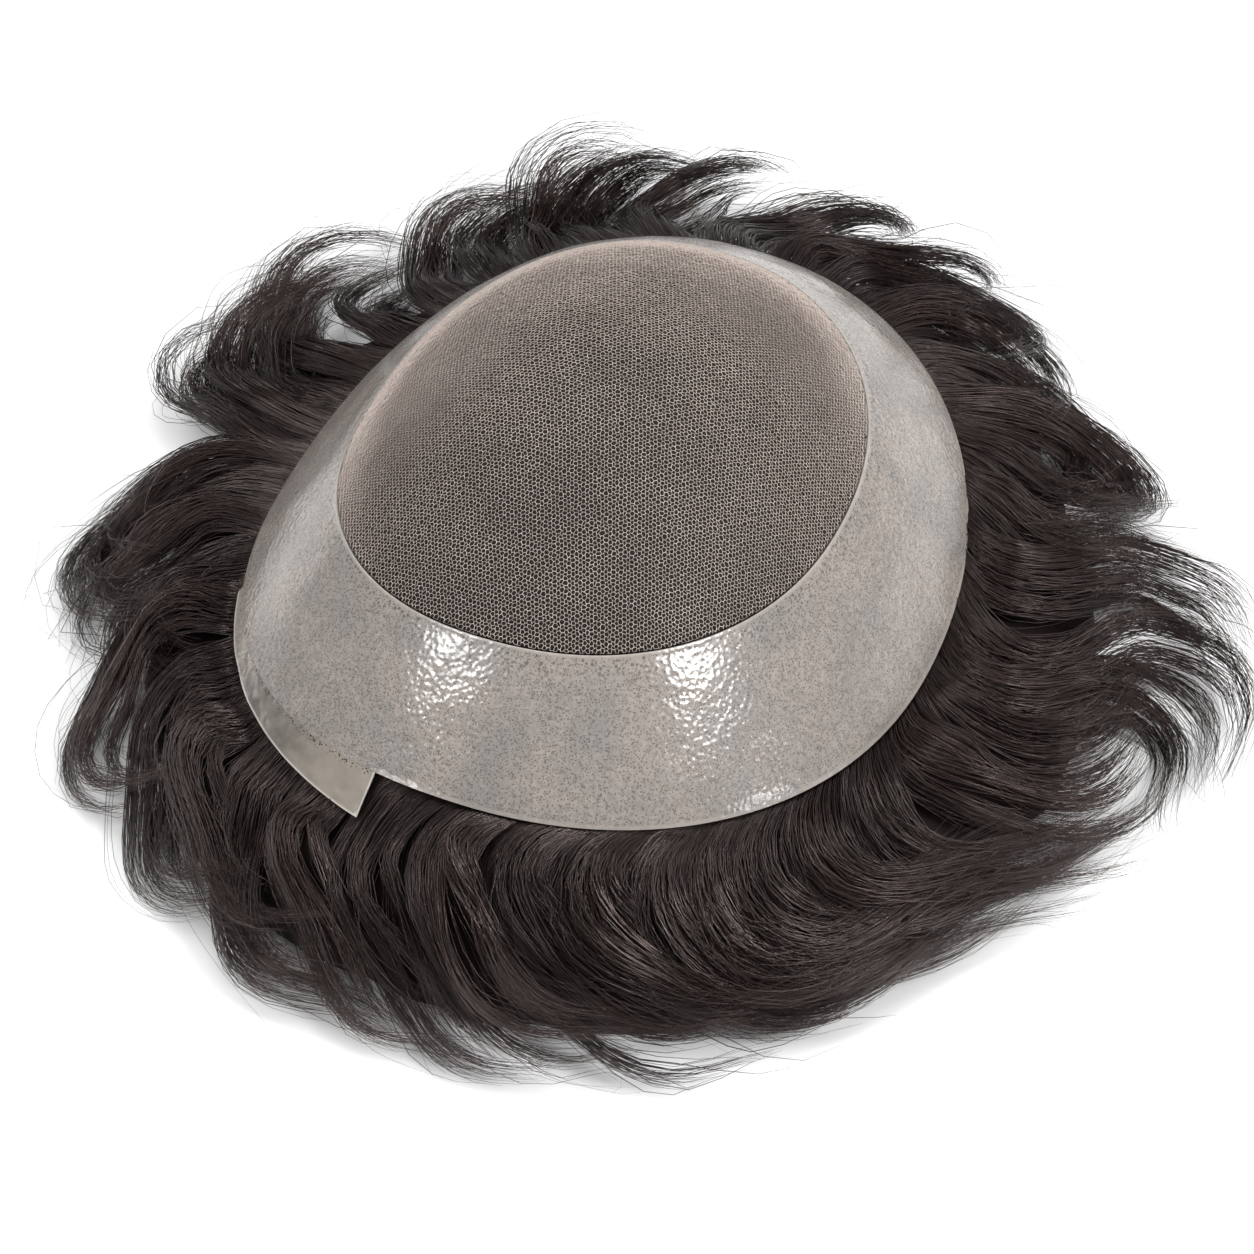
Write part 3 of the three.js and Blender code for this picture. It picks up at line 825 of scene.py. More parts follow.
@dataclass
class SkinBand:
    """The translucent skin between the net and the rim."""

    columns: int = 480
    wall: float = 1.0
    gap: float = 0.15
    lip: float = 0.1
    feather: float = 0.5
    roll: float = 0.25
    row_step: float = 1.1
    near_rows: tuple = (0.0, 0.2, 0.45, 0.75, 1.1, 1.6)
    even_rows: tuple = (2.3, 28.0)
    edge_rows: tuple = (28.6, 29.1, 29.5, 29.76, 29.8)
    edge_drops: tuple = (0.1, 0.35, 0.68, 0.97, 1.0)
    lip_at: float = 0.35
    lip_width: float = 0.4
    under_rows: int = 9
    swell: float = 0.22
    swell_size: float = 11.0
    grain: float = 0.05
    grain_size: float = 1.6

    def section(self) -> tuple[np.ndarray, np.ndarray, int]:
        """Lists a section's points, out along the top and back underneath.

        Returns:
            Shares of the band's width, heights on the dome, and how many of the points are on top.
        """
        first, last = self.even_rows
        middle = np.linspace(first, last, int(last / self.row_step))
        top = np.concatenate([self.near_rows, middle, self.edge_rows])
        lift = self.lip * np.exp(-(((top - self.lip_at) / self.lip_width) ** 2))
        lift[-len(self.edge_rows) :] -= self.roll * np.array(self.edge_drops)
        edge_share, edge_lift = [1.0, 1.0, 0.998], [-0.32, -0.42, -self.feather]
        under_share = np.linspace(0.985, 0.004, self.under_rows)
        under_lift = np.full(self.under_rows, -self.wall)
        under_lift[0] = -0.6
        wall_share, wall_lift = [0.0, 0.0], [-0.7, -0.3]
        shares = np.concatenate([top / top[-1], edge_share, under_share, wall_share])
        return shares, np.concatenate([lift, edge_lift, under_lift, wall_lift]), len(top)

    def build(self) -> bpy.types.Object:
        """Makes the band as one closed ring with fine relief on its top."""
        turn = np.arange(self.columns) / self.columns * 2 * math.pi
        shares, lifts, top_count = self.section()
        inner = DOME.net.radius(turn) + self.gap
        outer = DOME.rim.radius(turn)
        angle = np.repeat(turn, len(shares))
        share = np.tile(shares, self.columns)
        width = np.repeat(outer - inner, len(shares))
        radius = np.repeat(inner, len(shares)) + share * width
        lift = np.tile(lifts, self.columns)
        from_net, from_rim = share * width, (1 - share) * width
        on_top = np.tile(np.arange(len(shares)) < top_count, self.columns)
        degrees = np.degrees(angle) % 360
        flush = smooth((degrees - TAB.start + 4) / 6) * smooth((TAB.end + 0.5 - degrees) / 1.0)
        lift = np.where(on_top & (lift < 0), lift * (1 - flush), lift)
        flat = DOME.point(angle, radius, 0.0)
        mask = smooth((from_net - 1.0) / 3.0) * smooth(from_rim / 2.5) * on_top
        relief = self.swell * ripple(flat, self.swell_size, 1.0)
        relief = relief + self.grain * ripple(flat, self.grain_size, 5.0)
        points = DOME.point(angle, radius, lift + relief * mask)
        faces = loft(self.columns, len(shares), True)
        from_rim = np.maximum(np.where(on_top, from_rim, 0.0), 3.0 * flush)
        values = {"from_net": from_net, "from_rim": from_rim}
        piece = mesh_object("skin_film", points, faces, SkinFinish().material(), values)
        enrol(piece, "skin_band")
        return piece


@dataclass
class ClearTab:
    """The strip of bare film left past the front edge."""

    start: float = 213.0
    end: float = 260.5
    width: float = 7.5
    start_share: float = 0.1
    gap: float = 0.3
    seam: float = 0.03
    wall: float = 1.0
    columns: int = 120
    rows: int = 10
    crease: float = 0.3
    crease_size: float = 7.0
    corner_row: float = 0.008
    under_drops: tuple = (-0.35, -0.6)

    def width_at(self, degrees: np.ndarray) -> np.ndarray:
        """Gives the width of the strip at angles round the rim."""
        share = (degrees - self.start) / (self.end - self.start)
        return self.width * (self.start_share + (1 - self.start_share) * share)

    def build(self) -> bpy.types.Object:
        """Makes the strip as one closed body that follows the rim."""
        share = np.linspace(0, 1, self.columns)
        turn = np.radians(self.start + (self.end - self.start) * share)
        width = self.width * (self.start_share + (1 - self.start_share) * share)
        across = np.linspace(0, 1, self.rows)
        across[1], across[-2] = self.corner_row, 1 - self.corner_row
        across = np.concatenate([across, across[::-1]])
        lift = np.concatenate([np.zeros(self.rows), np.linspace(*self.under_drops, self.rows)])
        count = len(across)
        angle, along = np.repeat(turn, count), np.repeat(share, count)
        side = np.tile(across, self.columns)
        radius = DOME.rim.radius(angle) + self.seam + (np.repeat(width, count) + self.gap) * side
        flat = DOME.point(angle, radius, 0.0)
        wave = self.crease * ripple(flat, self.crease_size, 9.0) * side * smooth(along / 0.4)
        points = DOME.point(angle, radius, np.tile(lift, self.columns) + wave)
        reach = np.repeat(width, count)
        from_end = (1 - along) * math.radians(self.end - self.start) * radius
        from_edge = np.minimum((1 - side) * reach, from_end)
        values = {"along": along, "from_rim": side * reach, "from_edge": from_edge}
        faces = loft(self.columns, count, False)
        piece = mesh_object("clear_strip", points, faces, FilmFinish().material(), values)
        enrol(piece, "clear_tab")
        return piece


TAB = ClearTab()


@dataclass(frozen=True)
class Lock:
    """One lock: where it leaves the rim, how it turns, and its size as shares of the full one."""

    at: float
    lean: float
    bend: float
    hook: float
    length: float
    width: float
    lift: float


LOCKS = (
    Lock(1, -67, 95, 45, 0.76, 1.0, 0.0),
    Lock(8, -66, 115, -145, 0.95, 0.9, 0.2),
    Lock(19, -92, 140, -147, 1.08, 0.9, 0.2),
    Lock(34, -96, 125, -140, 1.05, 0.9, 0.3),
    Lock(41, -91, 60, 45, 0.66, 0.9, 0.1),
    Lock(45, -60, 30, 20, 0.58, 0.9, 0.1),
    Lock(52, -15, -32, -90, 0.84, 0.8, 0.3),
    Lock(59, -15, -50, -30, 0.66, 0.9, 0.2),
    Lock(68, 8, -75, -45, 0.76, 0.9, 0.3),
    Lock(77, 18, -90, -60, 0.92, 0.8, 0.5),
    Lock(84, 12, -70, -50, 0.74, 0.8, 0.4),
    Lock(93, 26, -60, -80, 0.84, 0.8, 0.5),
    Lock(103, 32, -45, -110, 0.92, 0.8, 0.7),
    Lock(111, 30, -30, -115, 0.84, 0.8, 0.7),
    Lock(122, 8, -20, -90, 0.84, 0.8, 0.7),
    Lock(129, 12, -30, -70, 0.66, 0.8, 0.6),
    Lock(137, 20, -50, -65, 0.78, 0.8, 0.5),
    Lock(146, 29, -50, -50, 0.55, 0.8, 0.2),
    Lock(155, 20, -45, -85, 0.94, 0.8, 0.2),
    Lock(163, 20, -50, -30, 0.52, 0.8, 0.2),
    Lock(170, 8, -45, -65, 0.84, 0.8, 0.2),
    Lock(176, 7, -38, -75, 0.8, 0.8, 0.2),
    Lock(180, 2, 40, 90, 0.76, 0.8, 0.1),
    Lock(184, -5, 65, 70, 0.91, 0.8, 0.1),
    Lock(194, -14, 60, 65, 0.69, 0.9, 0.1),
    Lock(204, 2, 48, 70, 0.58, 1.0, 0.0),
    Lock(213, -18, 74, 58, 0.84, 1.0, 0.0),
    Lock(228, -20, 84, 42, 0.84, 1.0, 0.0),
    Lock(237, -18, 84, 40, 0.76, 1.0, 0.0),
    Lock(246, -18, 84, 40, 0.8, 1.0, 0.0),
    Lock(256, -22, 88, 35, 0.74, 1.0, 0.0),
    Lock(267, -34, 100, 30, 0.76, 1.0, 0.0),
    Lock(278, -48, 112, 30, 0.74, 1.0, 0.0),
    Lock(288, -60, 128, 30, 0.8, 1.0, 0.0),
    Lock(298, -64, 136, 35, 0.88, 1.0, 0.0),
    Lock(306, -62, 160, 15, 1.17, 1.0, 0.0),
    Lock(312, -62, 158, 15, 1.12, 1.0, 0.0),
    Lock(318, -60, 166, -30, 1.24, 1.0, 0.3),
    Lock(328, -58, 122, 40, 0.92, 1.0, 0.0),
    Lock(338, -58, 100, 55, 0.84, 1.0, 0.0),
    Lock(350, -56, 86, 60, 0.82, 1.0, 0.0),
)


@dataclass
class HairFlow:
    """Where the hair lies: the skirt that spreads from the rim and the locks on it, in millimetres."""

    reach: float = 42
    edge_height: float = 9
    drop_shape: float = 1.15
    lock_length: float = 100
    lock_width: float = 18
    lock_thickness: float = 8
    lock_lift: float = 25
    root_inset: float = 3
    root_sunk: float = 0.5
    under_skin: float = 1.4
    under_tab: float = 3.4
    back_curl: float = -55.0
    left_curl: float = 44.0
    guide_points: int = 31
    overshoot: float = 1.15
    walk_steps: int = 150
    reaches: tuple = (1.0, 0.8, 0.85, 0.62, 0.7, 0.76, 0.84, 0.95)
    taper_along: tuple = (0, 0.3, 0.6, 0.85, 1, 1.15)
    taper_width: tuple = (0.6, 1.0, 0.9, 0.7, 0.5, 0.45)
    taper_depth: tuple = (0.7, 1.0, 0.9, 0.6, 0.4, 0.3)

    def skirt_reach(self, angle: np.ndarray) -> np.ndarray:
        """Gives how far the skirt goes out from the rim at an angle."""
        place = (np.degrees(angle) % 360) / 360 * len(self.reaches)
        index = np.floor(place).astype(int) % len(self.reaches)
        table = np.array(self.reaches)
        blend = smooth(place - np.floor(place))
        after = table[(index + 1) % len(self.reaches)]
        return self.reach * (table[index] + (after - table[index]) * blend)

    def top(self, x: np.ndarray, y: np.ndarray) -> np.ndarray:
        """Gives the height of the top of the hair outside the rim."""
        angle = np.arctan2(y, x)
        start = DOME.rim_height(angle) - self.under_skin
        out = np.maximum((np.hypot(x, y) - DOME.rim.radius(angle)) / self.skirt_reach(angle), 0)
        inside = self.edge_height + (start - self.edge_height) * (1 - out**self.drop_shape)
        past = np.maximum(self.edge_height * (3 - 2 * out), self.lock_thickness / 3)
        height = np.where(out < 1, inside, past)
        low = DOME.height(x, y) - self.under_tab
        return height - self.beside_tab(x, y) * np.maximum(height - low, 0)

    def beside_tab(self, x: np.ndarray, y: np.ndarray) -> np.ndarray:
        """Tells where the hair passes under the clear strip: 1 there, 0 well away from it."""
        angle = np.arctan2(y, x)
        turn = np.degrees(angle) % 360
        past = np.hypot(x, y) - DOME.rim.radius(angle) - TAB.width_at(turn)
        around = smooth((turn - TAB.start + 6) / 6) * smooth((TAB.end + 7 - turn) / 6)
        return around * smooth((11 - past) / 10)

    def tip_turn(self, lock: Lock) -> float:
        """Gives how far the tips turn on past their lock: curls at the back and left close up."""
        back = smooth((lock.at - 40) / 15) * smooth((181 - lock.at) / 6)
        left = smooth((lock.at - 176) / 6) * smooth((246 - lock.at) / 20)
        return self.back_curl * back + self.left_curl * left

    def path(self, lock: Lock) -> tuple[np.ndarray, np.ndarray]:
        """Walks along a lock from under the rim to past its tip.

        Args:
            lock: The lock to follow.

        Returns:
            Shares of the lock's length, and one row of x, y and z for each.
        """
        shares = np.linspace(0, self.overshoot, self.walk_steps)
        stride = self.lock_length * lock.length * (shares[1] - shares[0])
        middle = np.minimum(shares[:-1] + (shares[1] - shares[0]) / 2, 1)
        turn = lock.bend * smooth(middle / 0.55) + lock.hook * smooth((middle - 0.45) / 0.55)
        curl = self.tip_turn(lock) * smooth((shares[:-1] - 0.55) / 0.5)
        heading = np.radians(lock.at + lock.lean + turn + curl)
        at = math.radians(lock.at)
        start = DOME.rim.radius(at) - self.root_inset
        x = start * math.cos(at) + np.concatenate([[0], np.cumsum(stride * np.cos(heading))])
        y = start * math.sin(at) + np.concatenate([[0], np.cumsum(stride * np.sin(heading))])
        sunk = self.root_sunk * (1 - smooth(shares / 0.2))
        height = self.top(x, y) - sunk + self.lock_lift * lock.lift * shares**2
        return shares, np.stack([x, y, height], axis=-1)

    def guides(self) -> bpy.types.Mesh:
        """Makes the points that strands follow, lock after lock, with side and size at each."""
        places, sides, sizes = [], [], []
        wanted = np.linspace(0, self.overshoot, self.guide_points)
        for lock in LOCKS:
            shares, walk = self.path(lock)
            line = np.stack([np.interp(wanted, shares, walk[:, i]) for i in range(3)], axis=-1)
            run = np.gradient(line, axis=0)
            side = np.stack([-run[:, 1], run[:, 0], np.zeros(len(run))], axis=-1)
            side /= np.linalg.norm(side, axis=1, keepdims=True)
            half = self.lock_width * lock.width * np.interp(wanted, self.taper_along, self.taper_width) / 2
            deep = self.lock_thickness * np.interp(wanted, self.taper_along, self.taper_depth) / 2
            deep *= smooth(wanted / 0.25) * 0.9 + 0.1
            places.append(line * MM + AXIS)
            sides.append(side)
            sizes.append(np.stack([half * MM, deep * MM, np.full(len(half), lock.length)], axis=-1))
        mesh = bpy.data.meshes.new("guides")
        mesh.from_pydata(np.concatenate(places).tolist(), [], [])
        for label, rows in (("side", sides), ("size", sizes)):
            data = np.concatenate(rows).astype(np.float32).ravel()
            mesh.attributes.new(label, "FLOAT_VECTOR", "POINT").data.foreach_set("vector", data)
        return mesh


class Draw(Enum):
    """What a strand's fixed random values decide."""

    SPREAD = 1
    CLUMP_LENGTH = 2
    STRAND_LENGTH = 3
    DRIFT = 4
    LOOSE_ONE_WAY = 5
    LOOSE_OTHER_WAY = 6
    LEVEL = 7
    CLUMP_LIFT = 8
    STRAND_TONE = 9
    CLUMP_TONE = 10
    WILDNESS = 11
    THICKNESS = 12
    CLUMP_PHASE = 13
    LOCK_STACK = 14
    KEEPS = 15
    LOCK_PHASE = 16


class HairTree(GeometryTree):
    """Geometry Nodes tree that draws strands between the guides of a HairFlow."""

    COUNTS = ("Count", "Steps")
    SIZES = ("First", "Span", "Radius", "Gather", "Clumps", "Pull", "Scatter", "Frizz", "Wave")
    SHAPES = ("Tilt", "Swell", "Shortest", "Longest", "Seed")
    SEED_STEP = 65536.0
    DRAW_STEP = 4096.0

    # How far random values reach, and what they are added to. Lengths are in metres.
    CLUMP_LENGTHS = (0.26, 0.86)
    CLUMP_DRIFT = (1.4, -0.7)
    CLUMP_LIFT = (0.006, -0.002)
    LOCK_STACK = (0.0045, -0.002)
    LEVELS = (-1.6, 1.0)
    WILDNESS = (5.0, 0.4)
    THICKNESSES = (0.7, 0.65)
    # Painted light and shade across broad waves: a factor of 0.7 that swings by 0.3 either way.
    BROAD_LIGHT = (0.3, 0.7)
    CLUMP_PHASE = 1.3
    LOCK_PHASE = 6.28
    WAVE_TURNS = 7.5
    SWIRL_SCALE = 28.0
    SWIRL_STEP = 0.37
    SWIRL_MIDDLE = (0.5, 0.5, 0.45)
    FLOOR_GAP = 0.0003

    def __init__(self, flow: HairFlow) -> None:
        """Builds the tree for the guides of one flow."""
        inputs = {**dict.fromkeys(self.COUNTS, "Int"), **dict.fromkeys(self.SIZES + self.SHAPES, "Float")}
        super().__init__("hair_strands", inputs)
        self.flow = flow
        self.guides = self.entry.outputs[0]
        line = self.add("GeometryNodeMeshLine", {"Count": self.given("Steps")}).outputs[0]
        curve = self.add("GeometryNodeMeshToCurve", {0: line}).outputs[0]
        feeds = {"Geometry": curve, "Amount": self.given("Count")}
        curves = self.add("GeometryNodeDuplicateElements", feeds, domain="SPLINE").outputs[0]
        index = self.add("GeometryNodeInputIndex").outputs[0]
        self.strand = self.math("FLOOR", self.math("DIVIDE", index, self.given("Steps")))
        step = self.math("SUBTRACT", index, self.times(self.strand, self.given("Steps")))
        self.along = self.math("DIVIDE", step, self.math("SUBTRACT", self.given("Steps"), 1.0))
        feeds = {"Geometry": curves, "Position": self.place()}
        curves = self.add("GeometryNodeSetPosition", feeds).outputs[0]
        curves = self.store(curves, "along", self.along)
        # The stored tone is each strand's random tone times painted shade.
        strand_tone = self.math("POWER", self.chance(self.strand, Draw.STRAND_TONE), 2.2)
        tone_and_shade = self.mix(0.3, strand_tone, self.chance(self.clump, Draw.CLUMP_TONE))
        # Painted shade: strands darken towards their roots, where the rim shades them.
        root = self.ramp(self.along, 0.0, 0.3, 0.3, 1.0)
        tone_and_shade = self.times(tone_and_shade, self.times(self.shade, root))
        curves = self.store(curves, "tone_and_shade", tone_and_shade)
        self.finish(self.tubes(curves))

    def chance(self, number: object, draw: Draw) -> bpy.types.NodeSocket:
        """Gives a fixed random value, 0 to 1, for each number."""
        shift = self.DRAW_STEP * draw.value
        seeded = self.math("MULTIPLY_ADD", self.given("Seed"), self.SEED_STEP, shift)
        feeds = {"W": self.math("ADD", number, seeded)}
        return self.add("ShaderNodeTexWhiteNoise", feeds, noise_dimensions="1D").outputs[0]

    def guide(self, lock: object, share: object) -> list[bpy.types.NodeSocket]:
        """Reads place, side and size of a lock at a share of its length.

        Args:
            lock: Number of the lock, taken round the rim.
            share: Share of the lock's length.

        Returns:
            Outputs for place, side and size.
        """
        last = self.flow.guide_points - 1
        spot = self.times(self.math("DIVIDE", share, self.flow.overshoot), float(last))
        spot = self.math("MINIMUM", self.math("MAXIMUM", spot, 0.0), last - 0.001)
        low = self.math("FLOOR", spot)
        part = self.math("SUBTRACT", spot, low)
        row = self.math("FLOORED_MODULO", lock, float(len(LOCKS)))
        index = self.math("MULTIPLY_ADD", row, float(self.flow.guide_points), low)
        fields = [self.add("GeometryNodeInputPosition").outputs[0]]
        for name in ("side", "size"):
            node = self.add("GeometryNodeInputNamedAttribute", {"Name": name}, data_type="FLOAT_VECTOR")
            fields.append(node.outputs[0])
        read = []
        for value in fields:
            pair = []
            for ahead in (0.0, 1.0):
                node = self.add("GeometryNodeSampleIndex", data_type="FLOAT_VECTOR", domain="POINT")
                self.feed(node.inputs["Geometry"], self.guides)
                self.feed(next(s for s in node.inputs if s.name == "Value" and s.type == "VECTOR"), value)
                self.feed(node.inputs["Index"], self.math("ADD", index, ahead))
                pair.append(next(s for s in node.outputs if s.type == "VECTOR"))
            read.append(self.mix_vector(part, pair[0], pair[1]))
        return read

    def place(self) -> bpy.types.NodeSocket:
        """Works out where each point of each strand lies."""
        along, strand = self.along, self.strand
        spread = self.chance(strand, Draw.SPREAD)
        spread = self.math("MULTIPLY_ADD", spread, self.given("Span"), self.given("First"))
        self.clump = self.math("FLOOR", self.times(spread, self.given("Clumps")))
        middle = self.math("DIVIDE", self.math("ADD", self.clump, 0.5), self.given("Clumps"))
        pull = self.times(self.ramp(along, 0.05, 0.8), self.given("Pull"))
        spread = self.mix(pull, spread, middle)
        lock = self.math("FLOOR", spread)
        between = self.math("SUBTRACT", spread, lock)
        clump_length = self.math("MULTIPLY_ADD", self.chance(self.clump, Draw.CLUMP_LENGTH), *self.CLUMP_LENGTHS)
        strand_length = self.chance(strand, Draw.STRAND_LENGTH)
        strand_length = self.mix(strand_length, self.given("Shortest"), self.given("Longest"))
        share = self.times(along, self.times(clump_length, strand_length))
        here = self.guide(lock, share)
        there = self.guide(self.math("ADD", lock, 1.0), share)
        sheet = self.mix_vector(between, here[0], there[0])
        nearer = self.math("GREATER_THAN", between, 0.5)
        centre, side, size = (self.mix_vector(nearer, a, b) for a, b in zip(here, there))
        half, deep, _ = self.split(size)
        across = self.times(self.math("SUBTRACT", between, nearer), 2.0)
        drift = self.math("MULTIPLY_ADD", self.chance(self.clump, Draw.DRIFT), *self.CLUMP_DRIFT)
        across = self.math("MULTIPLY_ADD", drift, self.math("POWER", along, 2.0), across)
        clumped = self.vector("ADD", centre, self.scaled(side, self.times(half, across)))
        keeps = self.ramp(self.chance(strand, Draw.KEEPS), 0.0, 0.14)
        kept = self.times(keeps, self.given("Gather"))
        gather = self.times(self.ramp(along, 0.0, 0.5), kept)
        place = self.mix_vector(gather, sheet, clumped)
        owner = self.math("FLOORED_MODULO", self.math("ADD", lock, nearer), float(len(LOCKS)))
        phase = self.times(self.chance(owner, Draw.LOCK_PHASE), self.LOCK_PHASE)
        phase = self.math("MULTIPLY_ADD", self.chance(self.clump, Draw.CLUMP_PHASE), self.CLUMP_PHASE, phase)
        phase = self.math("MULTIPLY_ADD", share, self.WAVE_TURNS, phase)
        swing = self.ramp(along, 0.08, 0.5, 0.0, self.given("Wave"))
        sway = self.times(self.math("SINE", phase), swing)
        place = self.vector("ADD", place, self.scaled(side, sway))
        one_way = self.chance(strand, Draw.LOOSE_ONE_WAY)
        other_way = self.chance(strand, Draw.LOOSE_OTHER_WAY)
        loose = self.math("SUBTRACT", self.math("ADD", one_way, other_way), 1.0)
        looser = self.times(self.given("Scatter"), self.math("ADD", along, 0.35))
        loose = self.times(loose, looser)
        place = self.vector("ADD", place, self.scaled(side, loose))
        level = self.math("POWER", self.chance(strand, Draw.LEVEL), 1.5)
        level = self.math("MULTIPLY_ADD", level, *self.LEVELS)
        # Painted shade: strands darken towards the edges of their lock, where the gaps between locks fall in
        # shadow.
        edge = self.math("POWER", across, 2.0)
        self.shade = self.math("SUBTRACT", 1.0, self.times(edge, 0.75), clamp=True)
        crest = self.math("SUBTRACT", 1.0, self.times(edge, 0.9))
        rise = self.times(self.times(deep, crest), level)
        lift = self.math("MULTIPLY_ADD", self.chance(self.clump, Draw.CLUMP_LIFT), *self.CLUMP_LIFT)
        rise = self.math("MULTIPLY_ADD", lift, self.math("POWER", along, 2.0), rise)
        stack = self.math("MULTIPLY_ADD", self.chance(owner, Draw.LOCK_STACK), *self.LOCK_STACK)
        rise = self.math("MULTIPLY_ADD", stack, self.ramp(along, 0.15, 0.5), rise)
        swell = self.times(self.math("COSINE", phase), self.times(swing, 0.55))
        rise = self.math("ADD", rise, swell)
        tilt = self.times(across, self.ramp(along, 0.05, 0.4, 0.0, self.given("Tilt")))
        rise = self.math("ADD", rise, tilt)
        broad = self.math("COSINE", self.times(spread, math.pi))
        rise = self.math("MULTIPLY_ADD", broad, self.ramp(along, 0.05, 0.4, 0.0, self.given("Swell")), rise)
        # Painted light and shade: strands are lighter on each broad wave of two locks and darker where two waves
        # meet, fading out at the tips.
        lit = self.math("MULTIPLY_ADD", broad, *self.BROAD_LIGHT)
        self.shade = self.times(self.shade, self.mix(self.ramp(along, 0.7, 1.0), lit, 1.0))
        place = self.vector("ADD", place, self.join(0.0, 0.0, rise))
        wild = self.math("POWER", self.chance(strand, Draw.WILDNESS), 8.0)
        wild = self.math("MULTIPLY_ADD", wild, *self.WILDNESS)
        wild = self.times(wild, self.given("Frizz"))
        reach = self.times(self.math("POWER", along, 1.6), wild)
        feeds = {"Vector": place, "W": self.times(strand, self.SWIRL_STEP), "Detail": 1.0}
        feeds["Scale"] = self.SWIRL_SCALE
        swirl = self.add("ShaderNodeTexNoise", feeds, noise_dimensions="4D").outputs["Color"]
        swirl = self.scaled(self.vector("SUBTRACT", swirl, self.SWIRL_MIDDLE), reach)
        place = self.vector("ADD", place, swirl)
        x, y, z = self.split(place)
        floor = self.math("MULTIPLY_ADD", self.given("Radius"), 0.8, self.FLOOR_GAP)
        return self.join(x, y, self.math("MAXIMUM", z, floor))

    def tubes(self, curves: object) -> bpy.types.NodeSocket:
        """Turns each curve into a closed three-sided tube that thins to its tip."""
        vary = self.math("MULTIPLY_ADD", self.chance(self.strand, Draw.THICKNESS), *self.THICKNESSES)
        root = self.ramp(self.along, -0.1, 0.12, 0.5, 1.0)
        tip = self.math("SUBTRACT", 1.0, self.times(self.math("POWER", self.along, 3.0), 0.86))
        thick = self.times(tip, self.given("Radius"))
        radius = self.times(self.times(vary, root), thick)
        ring = self.add("GeometryNodeCurvePrimitiveCircle", {"Resolution": 3, "Radius": 1.0}).outputs[0]
        feeds = {"Curve": curves, "Profile Curve": ring, "Scale": radius, "Fill Caps": True}
        return self.add("GeometryNodeCurveToMesh", feeds).outputs[0]


@dataclass(frozen=True)
class HairPiece:
    """One piece of the drawn hair: its share of the locks and how its strands lie."""

    name: str
    count: int
    steps: int
    first: float
    span: float
    radius: float = 0.145
    gather: float = 0.96
    clumps: float = 4.0
    pull: float = 0.72
    scatter: float = 2.0
    frizz: float = 7.0
    wave: float = 3.0
    tilt: float = 3.0
    swell: float = 1.4
    shortest: float = 0.68
    longest: float = 1.1
    seed: int = 3

    def build(self, tree: HairTree, guides: bpy.types.Mesh, material: bpy.types.Material) -> bpy.types.Object:
        """Draws the piece.

        Args:
            tree: The tree that draws it.
            guides: The points that the strands follow.
            material: Finish of the hair.

        Returns:
            The finished piece.
        """
        values = {
            "Count": self.count,
            "Steps": self.steps,
            "First": self.first,
            "Span": self.span,
            "Radius": self.radius * MM,
            "Gather": self.gather,
            "Clumps": self.clumps,
            "Pull": self.pull,
            "Scatter": self.scatter * MM,
            "Frizz": self.frizz * MM,
            "Wave": self.wave * MM,
            "Tilt": self.tilt * MM,
            "Swell": self.swell * MM,
            "Shortest": self.shortest,
            "Longest": self.longest,
            "Seed": float(self.seed),
            "Material": material,
        }
        mesh = tree.run(self.name, guides, values)
        mesh.shade_smooth()
        piece = new_object(self.name, mesh)
        enrol(piece, "hair")
        return piece


